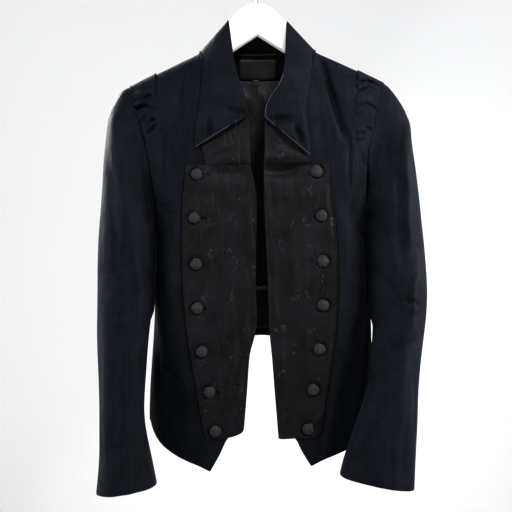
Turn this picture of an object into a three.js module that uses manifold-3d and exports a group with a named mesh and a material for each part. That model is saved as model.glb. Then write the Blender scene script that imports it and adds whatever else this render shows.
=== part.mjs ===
// Double-breasted military jacket on a flat hanger. Millimetres, +Z up.
// The origin is the point where the hook hangs: the top of the inside of its bend.
// The jacket's front faces -Y. "right" and "left" are the wearer's, so right lies at -X.
// Heights are measured from the hang point, so they are negative. Distances across are
// measured from the centre, and are positive on both sides.

import * as THREE from 'three';
import { mergeVertices } from 'three/addons/utils/BufferGeometryUtils.js';
import Module from 'manifold-3d';

const wasm = await Module();
wasm.setup();

// Driving dimensions

const CLOTH = 1.6; // crepe with its lining or interlining
const COLLAR_CLOTH = 2.0;
const PLASTRON_CLOTH = 2.0;
const THIN_CLOTH = 1.0; // facing and lining inside the back
const LABEL_CLOTH = 0.8;
const GAP = 0.4; // between layers and at seams
const HALF_SEAM = 0.25;
const SLEEVE_GAP = 0.7; // between the armhole panel and the sleeve
const FRONT = -1;
const BACK = 1;
const RIGHT = { name: 'right', sign: -1 };
const LEFT = { name: 'left', sign: 1 };
const SIDES = [RIGHT, LEFT];

const RIDGE_CLEAR = 0.002; // a panel's top edge stays this far below the shoulder line
const CHEST_Z = -282; // below this height the shoulders no longer thin the body
const RISE = 1.7; // how squarely the cloth turns over the hanger
const CROWN = 0.06; // how much the flat of the front and back is crowned
const FLAT_SHARE = 0.6; // share of the across parameter that the flat takes
const SEAM_SHARE = 0.999; // beyond this share of the way across, out means sideways
const SHARE_STEP = 0.002; // small steps for the surface's normal
const STEP_DOWN = 0.08;
const STEP_UP = 0.02;
const HALF_TURNS = 18; // points down one face of the armhole panel's ring
const LOWER_ROWS = 9; // rows from the bottom of that ring to the hem
const RING_BOTTOM_Z = -422; // lower edge of the armhole panel at the side seam
const NECK_X = 88; // where the neckline meets the shoulder
const CAP_LIFT = 3.0; // how far the ruched cap stands proud of the shoulder
const CAP_SPREAD = 0.55; // radians round the armhole that the proud cap takes
const CAP_EDGE_SHARE = 0.1; // how much of the cap's lift is left at the sleeve
const CAP_INNER_SHARE = 0.45; // how much of the lift the cap's inner face follows
const GATHER_ENDS = 0.6; // exponent that keeps the gathers deep close to the seams
const FOLD_FADE = 1.6; // how fast the folds grow below the shoulder line
const TOP_START_Z = -170; // where the search for a panel's top edge starts
const HEM_START_Z = -700;

const BUTTON_RADIUS = 9.2;
const BUTTON_HEIGHT = 5.6;
const BUTTON_SIDES = 12;
// A covered button's outline, in shares of its radius and height
const BUTTON_PROFILE = [
  { out: 0, up: 0 },
  { out: 0.82, up: 0 },
  { out: 1, up: 0.34 },
  { out: 0.7, up: 0.84 },
  { out: 0, up: 1 },
];
const WELT_HALF = 3.2;
const WELT_CLOTH = 1.2;
const WELT_TAPER = 0.4; // share of its thickness that a welt loses at its edges

const HOOK_INNER_RADIUS = 19;
const HOOK_WIRE_RADIUS = 2.25;
const HOOK_BORE_RADIUS = 2.75;
const HOOK_START = -0.75; // radians round the bend, from the right, where the stem joins it
const HOOK_END = 3.75;
const WIRE_SIDES = 7;
const STEM_TOP_Z = -54;
const STEM_BOTTOM_Z = -86;
const HANGER_HALF = 7; // half of the hanger's thickness
const HANGER_BEVEL = 5;
const HANGER_BEVEL_DROP = 3;
const HANGER_CLEAR = 3.0; // from the shoulder line down to the hanger's top edge

// The body's rings: half widths, where the flat ends, depths, the side seam's place and the
// roundness of the corner
const BODY = [
  { z: -192, right: 262, left: 262, flat: 118, front: 54, back: 48, seam: 0, round: 2.0 },
  { z: -275, right: 222, left: 222, flat: 115, front: 56, back: 51, seam: 0, round: 2.0 },
  { z: -350, right: 186, left: 191, flat: 111, front: 55, back: 51, seam: 0, round: 2.0 },
  { z: -395, right: 164.5, left: 169, flat: 108, front: 54, back: 50, seam: 0, round: 2.0 },
  { z: -410, right: 160.2, left: 165.2, flat: 107, front: 54, back: 49, seam: 0, round: 2.0 },
  { z: -430, right: 159.8, left: 165.4, flat: 106, front: 53, back: 49, seam: 0, round: 2.0 },
  { z: -500, right: 162.6, left: 168.6, flat: 104, front: 52, back: 47, seam: 2, round: 1.9 },
  { z: -560, right: 165.2, left: 171.4, flat: 102, front: 51, back: 46, seam: 6, round: 1.7 },
  { z: -640, right: 172.5, left: 173.0, flat: 100, front: 51, back: 46, seam: 14, round: 1.4 },
  { z: -700, right: 175.5, left: 175.5, flat: 98, front: 50, back: 46, seam: 18, round: 1.25 },
  { z: -790, right: 175.0, left: 175.0, flat: 96, front: 49, back: 46, seam: 20, round: 1.2 },
];

// The shoulder line over the hanger
const SHOULDER = [
  { x: 0, z: -82 },
  { x: 44, z: -110 },
  { x: 88, z: -138 },
  { x: 120, z: -153 },
  { x: 158, z: -171 },
  { x: 197, z: -188 },
  { x: 262, z: -218 },
];

// Seam between the body and the armhole panel
const PANEL_SEAM = [
  { z: -171, right: 156.5, left: 153.5 },
  { z: -195, right: 156.3, left: 152.0 },
  { z: -210, right: 154.6, left: 150.2 },
  { z: -225, right: 150.0, left: 145.6 },
  { z: -240, right: 146.4, left: 143.6 },
  { z: -260, right: 143.0, left: 141.6 },
  { z: -280, right: 139.6, left: 138.2 },
  { z: -300, right: 137.4, left: 136.0 },
  { z: -325, right: 136.3, left: 135.4 },
  { z: -350, right: 137.6, left: 137.2 },
  { z: -370, right: 140.8, left: 141.2 },
  { z: -385, right: 144.6, left: 146.6 },
  { z: -398, right: 149.4, left: 152.6 },
  { z: -410, right: 154.6, left: 159.0 },
  { z: -418, right: 158.0, left: 163.0 },
  { z: -422, right: 160.0, left: 165.3 },
];

// Seam between the armhole panel and the sleeve
const ARMHOLE = [
  { z: -188, right: 197.0, left: 194.0 },
  { z: -196, right: 194.1, left: 189.4 },
  { z: -205, right: 192.0, left: 186.6 },
  { z: -215, right: 189.0, left: 183.6 },
  { z: -230, right: 184.6, left: 179.2 },
  { z: -245, right: 180.2, left: 176.0 },
  { z: -260, right: 176.0, left: 172.8 },
  { z: -280, right: 171.2, left: 168.4 },
  { z: -300, right: 167.6, left: 165.0 },
  { z: -320, right: 164.4, left: 162.8 },
  { z: -340, right: 161.0, left: 161.8 },
  { z: -358, right: 158.2, left: 161.2 },
  { z: -378, right: 157.2, left: 161.2 },
  { z: -395, right: 158.2, left: 162.6 },
  { z: -404, right: 159.2, left: 164.0 },
  { z: -410, right: 160.1, left: 165.1 },
];

// Centre edge of each front
const CENTRE_EDGE = [
  { z: -138, right: 22, left: 22 },
  { z: -222, right: 19.5, left: 20 },
  { z: -250, right: 16.5, left: 12.5 },
  { z: -316, right: 14.7, left: 9.0 },
  { z: -332, right: 10.5, left: 8.9 },
  { z: -350, right: 7.0, left: 8.8 },
  { z: -380, right: 5.6, left: 9.0 },
  { z: -410, right: 6.6, left: 10.0 },
  { z: -450, right: 7.8, left: 11.5 },
  { z: -500, right: 8.8, left: 13.1 },
  { z: -550, right: 7.4, left: 13.9 },
  { z: -568, right: 8.6, left: 14.6 },
  { z: -582, right: 15.4, left: 15.8 },
  { z: -600, right: 19.0, left: 17.4 },
  { z: -650, right: 23.0, left: 20.8 },
  { z: -700, right: 27.6, left: 24.2 },
  { z: -730, right: 29.0, left: 26.0 },
];

// Neckline of the fronts, of the back, and the hems, as heights across
const FRONT_NECK = [
  { x: 18, z: -224 },
  { x: 40, z: -196 },
  { x: 62, z: -166 },
  { x: 80, z: -144 },
  { x: 88, z: -138 },
];
const BACK_NECK = [
  { x: 0, z: -131 },
  { x: 30, z: -131.4 },
  { x: 60, z: -133.6 },
  { x: 80, z: -136.6 },
  { x: 88, z: -138 },
];
const FRONT_HEM = {
  right: [
    { x: 26, z: -712 },
    { x: 42, z: -718 },
    { x: 54, z: -725 },
    { x: 61, z: -744 },
    { x: 79, z: -775 },
    { x: 94, z: -767 },
    { x: 118, z: -760 },
    { x: 136, z: -753 },
    { x: 155, z: -741 },
    { x: 167, z: -728 },
    { x: 176, z: -708 },
  ],
  left: [
    { x: 24, z: -714 },
    { x: 42, z: -720 },
    { x: 52, z: -727 },
    { x: 57, z: -742 },
    { x: 73, z: -768.5 },
    { x: 88, z: -760.5 },
    { x: 108, z: -754 },
    { x: 130, z: -748.5 },
    { x: 152, z: -738 },
    { x: 166, z: -726 },
    { x: 176, z: -708 },
  ],
};
const BACK_HEM = [
  { x: 0, z: -577 },
  { x: 30, z: -581 },
  { x: 60, z: -592 },
  { x: 90, z: -609 },
  { x: 120, z: -633 },
  { x: 145, z: -660 },
  { x: 165, z: -690 },
  { x: 176, z: -708 },
];
const HEM_COLUMNS = {
  right: [28, 42, 54, 61, 70, 79, 94, 112, 128, 143, 155, 165],
  left: [25, 40, 52, 57, 65, 73, 88, 108, 126, 143, 155, 165],
};

// Plastrons: the turned-back front edges
const PLASTRON_TOP_Z = -316;
const PLASTRON_ROLL = 1.4; // how much thicker the turned edge is
const ROLL_SHARE = 0.06;
const PLASTRON_EDGES = [
  { z: -316, rightIn: 13.2, rightOut: 108.4, leftIn: 7.5, leftOut: 103.4 },
  { z: -332, rightIn: 9.0, rightOut: 109.8, leftIn: 7.4, leftOut: 104.8 },
  { z: -350, rightIn: 5.2, rightOut: 111.6, leftIn: 7.2, leftOut: 106.9 },
  { z: -380, rightIn: 3.9, rightOut: 113.8, leftIn: 7.4, leftOut: 110.4 },
  { z: -410, rightIn: 5.0, rightOut: 115.0, leftIn: 8.5, leftOut: 112.9 },
  { z: -450, rightIn: 6.2, rightOut: 115.5, leftIn: 10.0, leftOut: 114.3 },
  { z: -500, rightIn: 7.1, rightOut: 114.8, leftIn: 11.6, leftOut: 114.6 },
  { z: -550, rightIn: 5.6, rightOut: 111.2, leftIn: 12.3, leftOut: 112.6 },
  { z: -568, rightIn: 7.0, rightOut: 109.2, leftIn: 12.9, leftOut: 110.4 },
  { z: -582, rightIn: 13.6, rightOut: 107.6, leftIn: 14.1, leftOut: 108.4 },
  { z: -600, rightIn: 17.5, rightOut: 105.0, leftIn: 15.9, leftOut: 106.0 },
  { z: -650, rightIn: 21.5, rightOut: 96.8, leftIn: 19.2, leftOut: 98.2 },
  { z: -700, rightIn: 26.2, rightOut: 89.6, leftIn: 22.7, leftOut: 89.4 },
  { z: -727, rightIn: 28.0, rightOut: 84.5, leftIn: 24.5, leftOut: 85.0 },
];
const PLASTRON_HEM = {
  right: [
    { x: 26, z: -711 },
    { x: 31, z: -718 },
    { x: 45, z: -723 },
    { x: 58, z: -725 },
    { x: 76, z: -727 },
    { x: 86, z: -721 },
  ],
  left: [
    { x: 23, z: -724 },
    { x: 28, z: -727 },
    { x: 48, z: -725.5 },
    { x: 70, z: -726.5 },
    { x: 80, z: -725 },
    { x: 87, z: -717 },
  ],
};

// Brocade facing between the collar and the plastron
const NECK_FACING = [
  { z: -226, rightIn: 20, rightOut: 62, leftIn: 19, leftOut: 58 },
  { z: -245, rightIn: 15.5, rightOut: 74, leftIn: 10.2, leftOut: 66 },
  { z: -270, rightIn: 13.4, rightOut: 82, leftIn: 9.0, leftOut: 70 },
  { z: -290, rightIn: 13.6, rightOut: 84, leftIn: 9.3, leftOut: 73 },
  { z: -315.5, rightIn: 13.2, rightOut: 79, leftIn: 7.6, leftOut: 72 },
];

// Collar wings, from the lower edge up to the tip: the seam side and the free edge. The
// lifts are measured from the fronts.
const WING = {
  right: [
    { seamX: 93, seamZ: -289, seamLift: 6.4, edgeX: 15.3, edgeZ: -244, edgeLift: 8 },
    { seamX: 91, seamZ: -262, seamLift: 6.0, edgeX: 16.3, edgeZ: -236, edgeLift: 8 },
    { seamX: 87.5, seamZ: -237, seamLift: 5.4, edgeX: 17.6, edgeZ: -226, edgeLift: 8 },
    { seamX: 85, seamZ: -212, seamLift: 4.8, edgeX: 19.8, edgeZ: -214, edgeLift: 8 },
    { seamX: 84, seamZ: -190, seamLift: 4.0, edgeX: 25.2, edgeZ: -198, edgeLift: 8 },
    { seamX: 83, seamZ: -172, seamLift: 3.2, edgeX: 31.2, edgeZ: -180, edgeLift: 8 },
    { seamX: 83.5, seamZ: -157, seamLift: 2.8, edgeX: 35, edgeZ: -160, edgeLift: 8 },
    { seamX: 85.5, seamZ: -146, seamLift: 2.6, edgeX: 37.4, edgeZ: -140, edgeLift: 7 },
    { seamX: 87.6, seamZ: -140.5, seamLift: 2.6, edgeX: 39.6, edgeZ: -118, edgeLift: 6 },
  ],
  left: [
    { seamX: 76, seamZ: -303, seamLift: 6.4, edgeX: 9.7, edgeZ: -247, edgeLift: 8 },
    { seamX: 75, seamZ: -280, seamLift: 6.0, edgeX: 10.2, edgeZ: -240, edgeLift: 8 },
    { seamX: 73.5, seamZ: -258, seamLift: 5.4, edgeX: 11.6, edgeZ: -231, edgeLift: 8 },
    { seamX: 72.5, seamZ: -236, seamLift: 4.8, edgeX: 15.2, edgeZ: -222, edgeLift: 8 },
    { seamX: 74, seamZ: -215, seamLift: 4.4, edgeX: 22.2, edgeZ: -211, edgeLift: 8 },
    { seamX: 78, seamZ: -195, seamLift: 3.6, edgeX: 33, edgeZ: -195, edgeLift: 8 },
    { seamX: 81, seamZ: -175, seamLift: 3.0, edgeX: 39.4, edgeZ: -174, edgeLift: 8 },
    { seamX: 84, seamZ: -156, seamLift: 2.6, edgeX: 41.3, edgeZ: -150, edgeLift: 7 },
    { seamX: 87.2, seamZ: -142, seamLift: 2.6, edgeX: 42.6, edgeZ: -124, edgeLift: 6 },
  ],
};
// The stand round the neck, from the tip to the centre back
const STAND = {
  right: [
    { seamX: 88.8, seamY: -2.0, seamZ: -136.4, edgeX: 45.2, edgeY: -10, edgeZ: -90.2 },
    { seamX: 88.2, seamY: 4.0, seamZ: -136.2, edgeX: 49.5, edgeY: 5, edgeZ: -92.4 },
  ],
  left: [
    { seamX: 88.8, seamY: -2.0, seamZ: -136.4, edgeX: 47.0, edgeY: -10, edgeZ: -93.0 },
    { seamX: 88.2, seamY: 4.0, seamZ: -136.2, edgeX: 50.5, edgeY: 5, edgeZ: -94.0 },
  ],
};
const STAND_BACK = [
  { x: 78, edgeX: 47, edgeY: 15, edgeZ: -93 },
  { x: 58, edgeX: 38, edgeY: 24, edgeZ: -94 },
  { x: 30, edgeX: 22, edgeY: 30, edgeZ: -95 },
  { x: 0, edgeX: 0, edgeY: 32, edgeZ: -95 },
];
const COLLAR_ROLL = 3.0; // how far the collar bows out between its seam and its edge
const COLLAR_STEPS = 40;

// Sleeve rings: the outermost point, the innermost point, the middle's depth and half depth
const SLEEVE = {
  right: [
    { outX: 206, outZ: -190.5, inX: 160.9, inZ: -411.2, y: 0, half: 43 },
    { outX: 212.5, outZ: -196, inX: 161.2, inZ: -412.5, y: 0, half: 46 },
    { outX: 220.5, outZ: -209, inX: 161.4, inZ: -414, y: 0, half: 49 },
    { outX: 229.5, outZ: -229, inX: 161.6, inZ: -416, y: -1, half: 52 },
    { outX: 234.4, outZ: -252, inX: 161.8, inZ: -418.5, y: -2, half: 54 },
    { outX: 237.2, outZ: -280, inX: 161.9, inZ: -421.5, y: -3, half: 56 },
    { outX: 240, outZ: -315, inX: 162.0, inZ: -426, y: -4, half: 57 },
    { outX: 242, outZ: -350, inX: 162.1, inZ: -432, y: -5, half: 57 },
    { outX: 244.5, outZ: -385, inX: 162.3, inZ: -440, y: -6, half: 57 },
    { outX: 247, outZ: -420, inX: 162.6, inZ: -452, y: -8, half: 55 },
    { outX: 248.6, outZ: -455, inX: 163, inZ: -469, y: -10, half: 53 },
    { outX: 249.2, outZ: -490, inX: 163.8, inZ: -492, y: -13, half: 51 },
    { outX: 249.3, outZ: -525, inX: 165, inZ: -522, y: -17, half: 49 },
    { outX: 249.2, outZ: -560, inX: 169.8, inZ: -556, y: -24, half: 47 },
    { outX: 247.6, outZ: -600, inX: 172.6, inZ: -594, y: -32, half: 45 },
    { outX: 245, outZ: -642, inX: 174.8, inZ: -634, y: -39, half: 43 },
    { outX: 243.4, outZ: -685, inX: 176.6, inZ: -676, y: -45, half: 42 },
    { outX: 243.3, outZ: -715, inX: 174.4, inZ: -704, y: -49, half: 42.5 },
    { outX: 243.6, outZ: -745, inX: 168.6, inZ: -733, y: -51, half: 44 },
    { outX: 245.4, outZ: -773, inX: 162.6, inZ: -761, y: -53, half: 46.5 },
    { outX: 248.4, outZ: -801, inX: 157, inZ: -789, y: -55, half: 50 },
  ],
  left: [
    { outX: 201, outZ: -191.5, inX: 166, inZ: -411.2, y: 0, half: 43 },
    { outX: 206.5, outZ: -198.5, inX: 166.8, inZ: -412.5, y: 0, half: 46 },
    { outX: 215.5, outZ: -211, inX: 167.4, inZ: -414, y: 0, half: 49 },
    { outX: 226.6, outZ: -230, inX: 167.9, inZ: -416, y: -1, half: 52 },
    { outX: 233.2, outZ: -252, inX: 168.3, inZ: -418.5, y: -2, half: 54 },
    { outX: 236.9, outZ: -280, inX: 168.6, inZ: -421.5, y: -3, half: 56 },
    { outX: 240.6, outZ: -315, inX: 168.9, inZ: -426, y: -4, half: 57 },
    { outX: 244.2, outZ: -350, inX: 169.2, inZ: -432, y: -5, half: 57 },
    { outX: 246.8, outZ: -385, inX: 169.5, inZ: -440, y: -6, half: 57 },
    { outX: 249.8, outZ: -420, inX: 169.8, inZ: -452, y: -8, half: 55 },
    { outX: 253.4, outZ: -455, inX: 170, inZ: -469, y: -10, half: 53 },
    { outX: 256.1, outZ: -490, inX: 170.6, inZ: -492, y: -13, half: 51 },
    { outX: 255, outZ: -525, inX: 172.6, inZ: -524, y: -18, half: 49 },
    { outX: 249.8, outZ: -560, inX: 174.2, inZ: -556, y: -26, half: 47 },
    { outX: 242.4, outZ: -600, inX: 170.6, inZ: -596, y: -36, half: 45 },
    { outX: 235.5, outZ: -642, inX: 162.4, inZ: -638, y: -46, half: 43 },
    { outX: 232, outZ: -685, inX: 147, inZ: -680, y: -55, half: 41 },
    { outX: 229.8, outZ: -715, inX: 135.4, inZ: -708, y: -60, half: 40 },
    { outX: 227, outZ: -745, inX: 124.6, inZ: -736, y: -63, half: 40 },
    { outX: 225, outZ: -773, inX: 117, inZ: -758, y: -65, half: 41 },
    { outX: 223.6, outZ: -799, inX: 112.6, inZ: -776, y: -66, half: 43 },
  ],
};
const SLEEVE_SQUARE = 2.15; // exponent of the sleeve's oval
const SEAM_TURN = 0.006; // half of a sleeve seam's gap, in radians
const ARMHOLE_FADE = 0.55; // how fast the armhole's own shape fades down the sleeve
const RING_SPREAD = 0.08; // radians that count as one ring, for the length of a fold's ends
// The oval that the armhole comes nearest to
const ARMHOLE_OVAL = {
  right: { outX: 197.4, outZ: -188.1, inX: 160.5, inZ: -410, y: 0, half: 42 },
  left: { outX: 194.4, outZ: -186.8, inX: 165.5, inZ: -410, y: 0, half: 42 },
};
const FORE_SEAM = 2.72; // radians from the outer line round the front to the inner seam
// The hind seam, in radians from the outer line towards the front, by ring
const HIND_SEAM = {
  right: [
    { ring: 0, turn: -1.1 },
    { ring: 6, turn: -0.8 },
    { ring: 12, turn: -0.45 },
    { ring: 21, turn: -0.3 },
  ],
  left: [
    { ring: 0, turn: -1.0 },
    { ring: 6, turn: -0.5 },
    { ring: 12, turn: 0.5 },
    { ring: 15, turn: 0.42 },
    { ring: 18, turn: 0.15 },
    { ring: 21, turn: 0.05 },
  ],
};

// Folds: a soft trough along a line from one point to another, a ridge where depth is below 0
const BODY_FOLDS = {
  right: [
    { x1: 110, z1: -184, x2: 118, z2: -222, width: 11, depth: 2.6 },
    { x1: 118, z1: -222, x2: 127, z2: -268, width: 9, depth: 2.0 },
    { x1: 84, z1: -182, x2: 86, z2: -212, width: 4, depth: 1.2 },
    { x1: 86, z1: -212, x2: 97, z2: -262, width: 5, depth: 2.6 },
    { x1: 97, z1: -262, x2: 103, z2: -306, width: 5, depth: 2.4 },
    { x1: 121, z1: -330, x2: 125, z2: -470, width: 5, depth: 1.2 },
    { x1: 119, z1: -560, x2: 106, z2: -700, width: 9, depth: 1.8 },
    { x1: 140, z1: -560, x2: 132, z2: -640, width: 12, depth: -1.6 },
  ],
  left: [
    { x1: 100, z1: -170, x2: 109, z2: -206, width: 8, depth: 3.6 },
    { x1: 109, z1: -206, x2: 118, z2: -240, width: 8, depth: 4.2 },
    { x1: 118, z1: -240, x2: 129, z2: -280, width: 7, depth: 3.0 },
    { x1: 82, z1: -176, x2: 80, z2: -222, width: 4, depth: 1.2 },
    { x1: 80, z1: -222, x2: 93, z2: -262, width: 5, depth: 2.6 },
    { x1: 93, z1: -262, x2: 99, z2: -304, width: 5, depth: 2.4 },
    { x1: 121, z1: -330, x2: 125, z2: -470, width: 5, depth: 1.2 },
    { x1: 117, z1: -560, x2: 104, z2: -700, width: 9, depth: 1.8 },
  ],
};
const BACK_FOLDS = [
  { x1: 62, z1: -210, x2: 78, z2: -360, width: 14, depth: 2.0 },
  { x1: 96, z1: -300, x2: 104, z2: -420, width: 18, depth: -1.2 },
  { x1: 40, z1: -430, x2: 52, z2: -560, width: 14, depth: 1.8 },
  { x1: 98, z1: -470, x2: 110, z2: -590, width: 13, depth: 1.8 },
];
// Gathers of the armhole panel, front and back alike
const GATHERS = {
  right: [
    { x1: 157, z1: -203, x2: 190, z2: -206, width: 3.4, depth: 2.4 },
    { x1: 156, z1: -216, x2: 188, z2: -208, width: 3.8, depth: -2.6 },
    { x1: 158, z1: -222, x2: 182, z2: -224, width: 3.8, depth: 3.0 },
    { x1: 152, z1: -233, x2: 176, z2: -232, width: 4.2, depth: -2.2 },
    { x1: 147, z1: -242, x2: 160, z2: -246, width: 3.6, depth: 2.4 },
    { x1: 164, z1: -242, x2: 172, z2: -250, width: 3.6, depth: 2.2 },
    { x1: 149, z1: -262, x2: 158, z2: -248, width: 4.0, depth: 2.0 },
    { x1: 150, z1: -276, x2: 166, z2: -270, width: 6.0, depth: -1.4 },
  ],
  left: [
    { x1: 158, z1: -186, x2: 186, z2: -190, width: 3.4, depth: 2.0 },
    { x1: 153, z1: -203, x2: 176, z2: -194, width: 4.0, depth: 2.4 },
    { x1: 152, z1: -212, x2: 182, z2: -206, width: 4.4, depth: -2.0 },
    { x1: 150, z1: -226, x2: 158, z2: -229, width: 4.0, depth: 2.4 },
    { x1: 166, z1: -226, x2: 174, z2: -234, width: 3.6, depth: 2.0 },
    { x1: 160, z1: -252, x2: 170, z2: -255, width: 4.0, depth: 1.8 },
    { x1: 147, z1: -262, x2: 158, z2: -266, width: 4.0, depth: 2.0 },
    { x1: 146, z1: -278, x2: 164, z2: -274, width: 6.0, depth: -1.2 },
  ],
};
// Sleeve folds by ring and by radians from the outer line towards the front
const SLEEVE_FOLDS = {
  right: [
    { r1: 3, t1: 0.95, r2: 11, t2: 1.25, width: 0.22, depth: -2.2 },
    { r1: 4, t1: 0.5, r2: 14, t2: 0.75, width: 0.2, depth: 2.4 },
    { r1: 8, t1: 2.0, r2: 13, t2: 1.8, width: 0.22, depth: 1.8 },
    { r1: 6, t1: 4.0, r2: 13, t2: 4.4, width: 0.3, depth: 2.2 },
    { r1: 15, t1: 1.0, r2: 21, t2: 1.2, width: 0.22, depth: -1.8 },
    { r1: 16, t1: 1.7, r2: 21, t2: 1.9, width: 0.2, depth: 1.8 },
  ],
  left: [
    { r1: 3, t1: 0.85, r2: 11, t2: 0.95, width: 0.22, depth: -2.2 },
    { r1: 5, t1: 1.5, r2: 14, t2: 1.7, width: 0.24, depth: 2.2 },
    { r1: 9, t1: 2.2, r2: 13, t2: 2.0, width: 0.22, depth: 1.6 },
    { r1: 6, t1: 4.0, r2: 13, t2: 4.4, width: 0.3, depth: 2.2 },
    { r1: 15, t1: 1.1, r2: 21, t2: 1.3, width: 0.22, depth: -1.8 },
    { r1: 16, t1: 1.9, r2: 21, t2: 2.1, width: 0.2, depth: 1.8 },
  ],
};

const BUTTONS = {
  right: [
    { x: 92.5, z: -329.3 },
    { x: 97.3, z: -394.4 },
    { x: 95.9, z: -464.0 },
    { x: 94.9, z: -529.9 },
    { x: 89.1, z: -595.1 },
    { x: 78.0, z: -655.2 },
    { x: 70.0, z: -714.6 },
  ],
  left: [
    { x: 85.9, z: -327.8 },
    { x: 92.5, z: -393.8 },
    { x: 94.3, z: -461.9 },
    { x: 93.8, z: -527.7 },
    { x: 87.4, z: -593.5 },
    { x: 77.5, z: -654.1 },
    { x: 68.6, z: -712.2 },
  ],
};
const WELTS = {
  right: [
    { x: 154, z: -621 },
    { x: 143, z: -626 },
    { x: 133, z: -631.6 },
    { x: 120, z: -643.8 },
  ],
  left: [
    { x: 146, z: -620 },
    { x: 136.5, z: -626.6 },
    { x: 128, z: -630.4 },
    { x: 119, z: -633.4 },
  ],
};

// Inside the back
const BACK_FACING = { half: 62, inset: 1.6, bottomZ: -173, midDrop: 4 };
const LINING = { half: 98, hemInset: 12, lift: 4.2 };
const LABEL = { x1: -29.5, x2: 30.5, topZ: -143.6, bottomZ: -173.6 };
const SIZE_TAB = { x1: -9, x2: 2.5, topZ: -174.4, bottomZ: -183.5 };
const HANG_LOOP = { x1: -27, x2: 31, topZ: -134.4, bottomZ: -137.6, bow: 1.2 };

// Hanger outline, right half from the dome to the arm; the left half mirrors it
const HANGER_DOME = [
  { x: 0, z: -62.5 },
  { x: 12, z: -64 },
  { x: 23, z: -69.5 },
  { x: 31, z: -76.5 },
  { x: 38, z: -84.5 },
  { x: 42.5, z: -91.5 },
  { x: 52, z: -105 },
  { x: 66, z: -124 },
  { x: 80, z: -137 },
];
const HANGER_ARM_END = 183;
const HANGER_UNDERSIDE = [
  { x: 182, z: -192 },
  { x: 140, z: -180 },
  { x: 90, z: -165 },
  { x: 40, z: -139 },
  { x: 0, z: -113 },
];

// Small helpers

const lerp = THREE.MathUtils.lerp;
const clamp = THREE.MathUtils.clamp;

function range(from, to, count) {
  return Array.from({ length: count + 1 }, (_, i) => lerp(from, to, i / count));
}

// Reads one column of a table as a smooth curve over the key column.
function read(rows, key, column, at) {
  const down = rows[0][key] > rows[rows.length - 1][key];
  const order = (i) => rows[down ? rows.length - 1 - i : i];
  const last = rows.length - 1;
  if (at <= order(0)[key]) return order(0)[column];
  if (at >= order(last)[key]) return order(last)[column];
  let i = 0;
  while (order(i + 1)[key] < at) i += 1;
  const slope = (k) => {
    const before = order(Math.max(k - 1, 0));
    const after = order(Math.min(k + 1, last));
    return (after[column] - before[column]) / (after[key] - before[key]);
  };
  const a = order(i);
  const b = order(i + 1);
  const span = b[key] - a[key];
  const t = (at - a[key]) / span;
  const rest = 1 - t;
  return (
    a[column] * (1 + 2 * t) * rest * rest +
    b[column] * (1 + 2 * rest) * t * t +
    slope(i) * span * t * rest * rest -
    slope(i + 1) * span * t * t * rest
  );
}

// Reads a column by straight lines, for outlines with sharp corners.
function readStraight(rows, key, column, at) {
  const down = rows[0][key] > rows[rows.length - 1][key];
  const ordered = down ? [...rows].reverse() : rows;
  const last = ordered.length - 1;
  if (at <= ordered[0][key]) return ordered[0][column];
  if (at >= ordered[last][key]) return ordered[last][column];
  const i = ordered.findIndex((row) => row[key] >= at);
  const a = ordered[i - 1];
  const b = ordered[i];
  return lerp(a[column], b[column], (at - a[key]) / (b[key] - a[key]));
}

// Depth of all the folds of a table at a point.
function folded(folds, x, z) {
  let depth = 0;
  for (const fold of folds) {
    const dx = fold.x2 - fold.x1;
    const dz = fold.z2 - fold.z1;
    const t = clamp(((x - fold.x1) * dx + (z - fold.z1) * dz) / (dx * dx + dz * dz), 0, 1);
    const away = Math.hypot(x - fold.x1 - t * dx, z - fold.z1 - t * dz) / fold.width;
    depth += fold.depth * Math.exp(-away * away);
  }
  return depth;
}

// The body's surface

const shoulderZ = (x) => read(SHOULDER, 'x', 'z', x);
const body = (column, z) => read(BODY, 'z', column, z);

function rise(x, z) {
  const high = clamp((z - CHEST_Z) / (shoulderZ(x) - CHEST_Z), 0, 1);
  return Math.pow(1 - Math.pow(high, RISE), 1 / RISE);
}

// The distance across at a share w of the way from the centre to the side seam.
function acrossAt(side, z, w) {
  const flat = body('flat', z);
  if (w < FLAT_SHARE) return (flat * w) / FLAT_SHARE;
  const turn = ((w - FLAT_SHARE) / (1 - FLAT_SHARE)) * (Math.PI / 2);
  return flat + (body(side.name, z) - flat) * Math.sin(Math.min(turn, Math.PI / 2));
}

function shareAt(side, z, x) {
  const flat = body('flat', z);
  if (x < flat) return (FLAT_SHARE * x) / flat;
  const sine = clamp((x - flat) / (body(side.name, z) - flat), 0, 1);
  return FLAT_SHARE + (1 - FLAT_SHARE) * (Math.asin(sine) / (Math.PI / 2));
}

// The body's outer surface at a distance across and a height.
function onBody(side, face, x, z) {
  const flat = body('flat', z);
  const seam = body('seam', z);
  const round = body('round', z);
  let full = 1 - CROWN * Math.min(x / flat, 1) ** 2;
  if (x > flat) {
    const sine = clamp((x - flat) / (body(side.name, z) - flat), 0, 1);
    full *= Math.pow(1 - Math.pow(sine, round), 1 / round);
  }
  const deep = face === FRONT ? body('front', z) + seam : body('back', z) - seam;
  const folds = face === FRONT ? BODY_FOLDS[side.name] : BACK_FOLDS;
  const inward = folded(folds, x, z) * Math.min(full, 1) * Math.min(rise(x, z) * FOLD_FADE, 1);
  const y = rise(x, z) * (seam + face * full * deep) - face * inward + face * HALF_SEAM;
  return new THREE.Vector3(side.sign * x, y, z);
}

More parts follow.
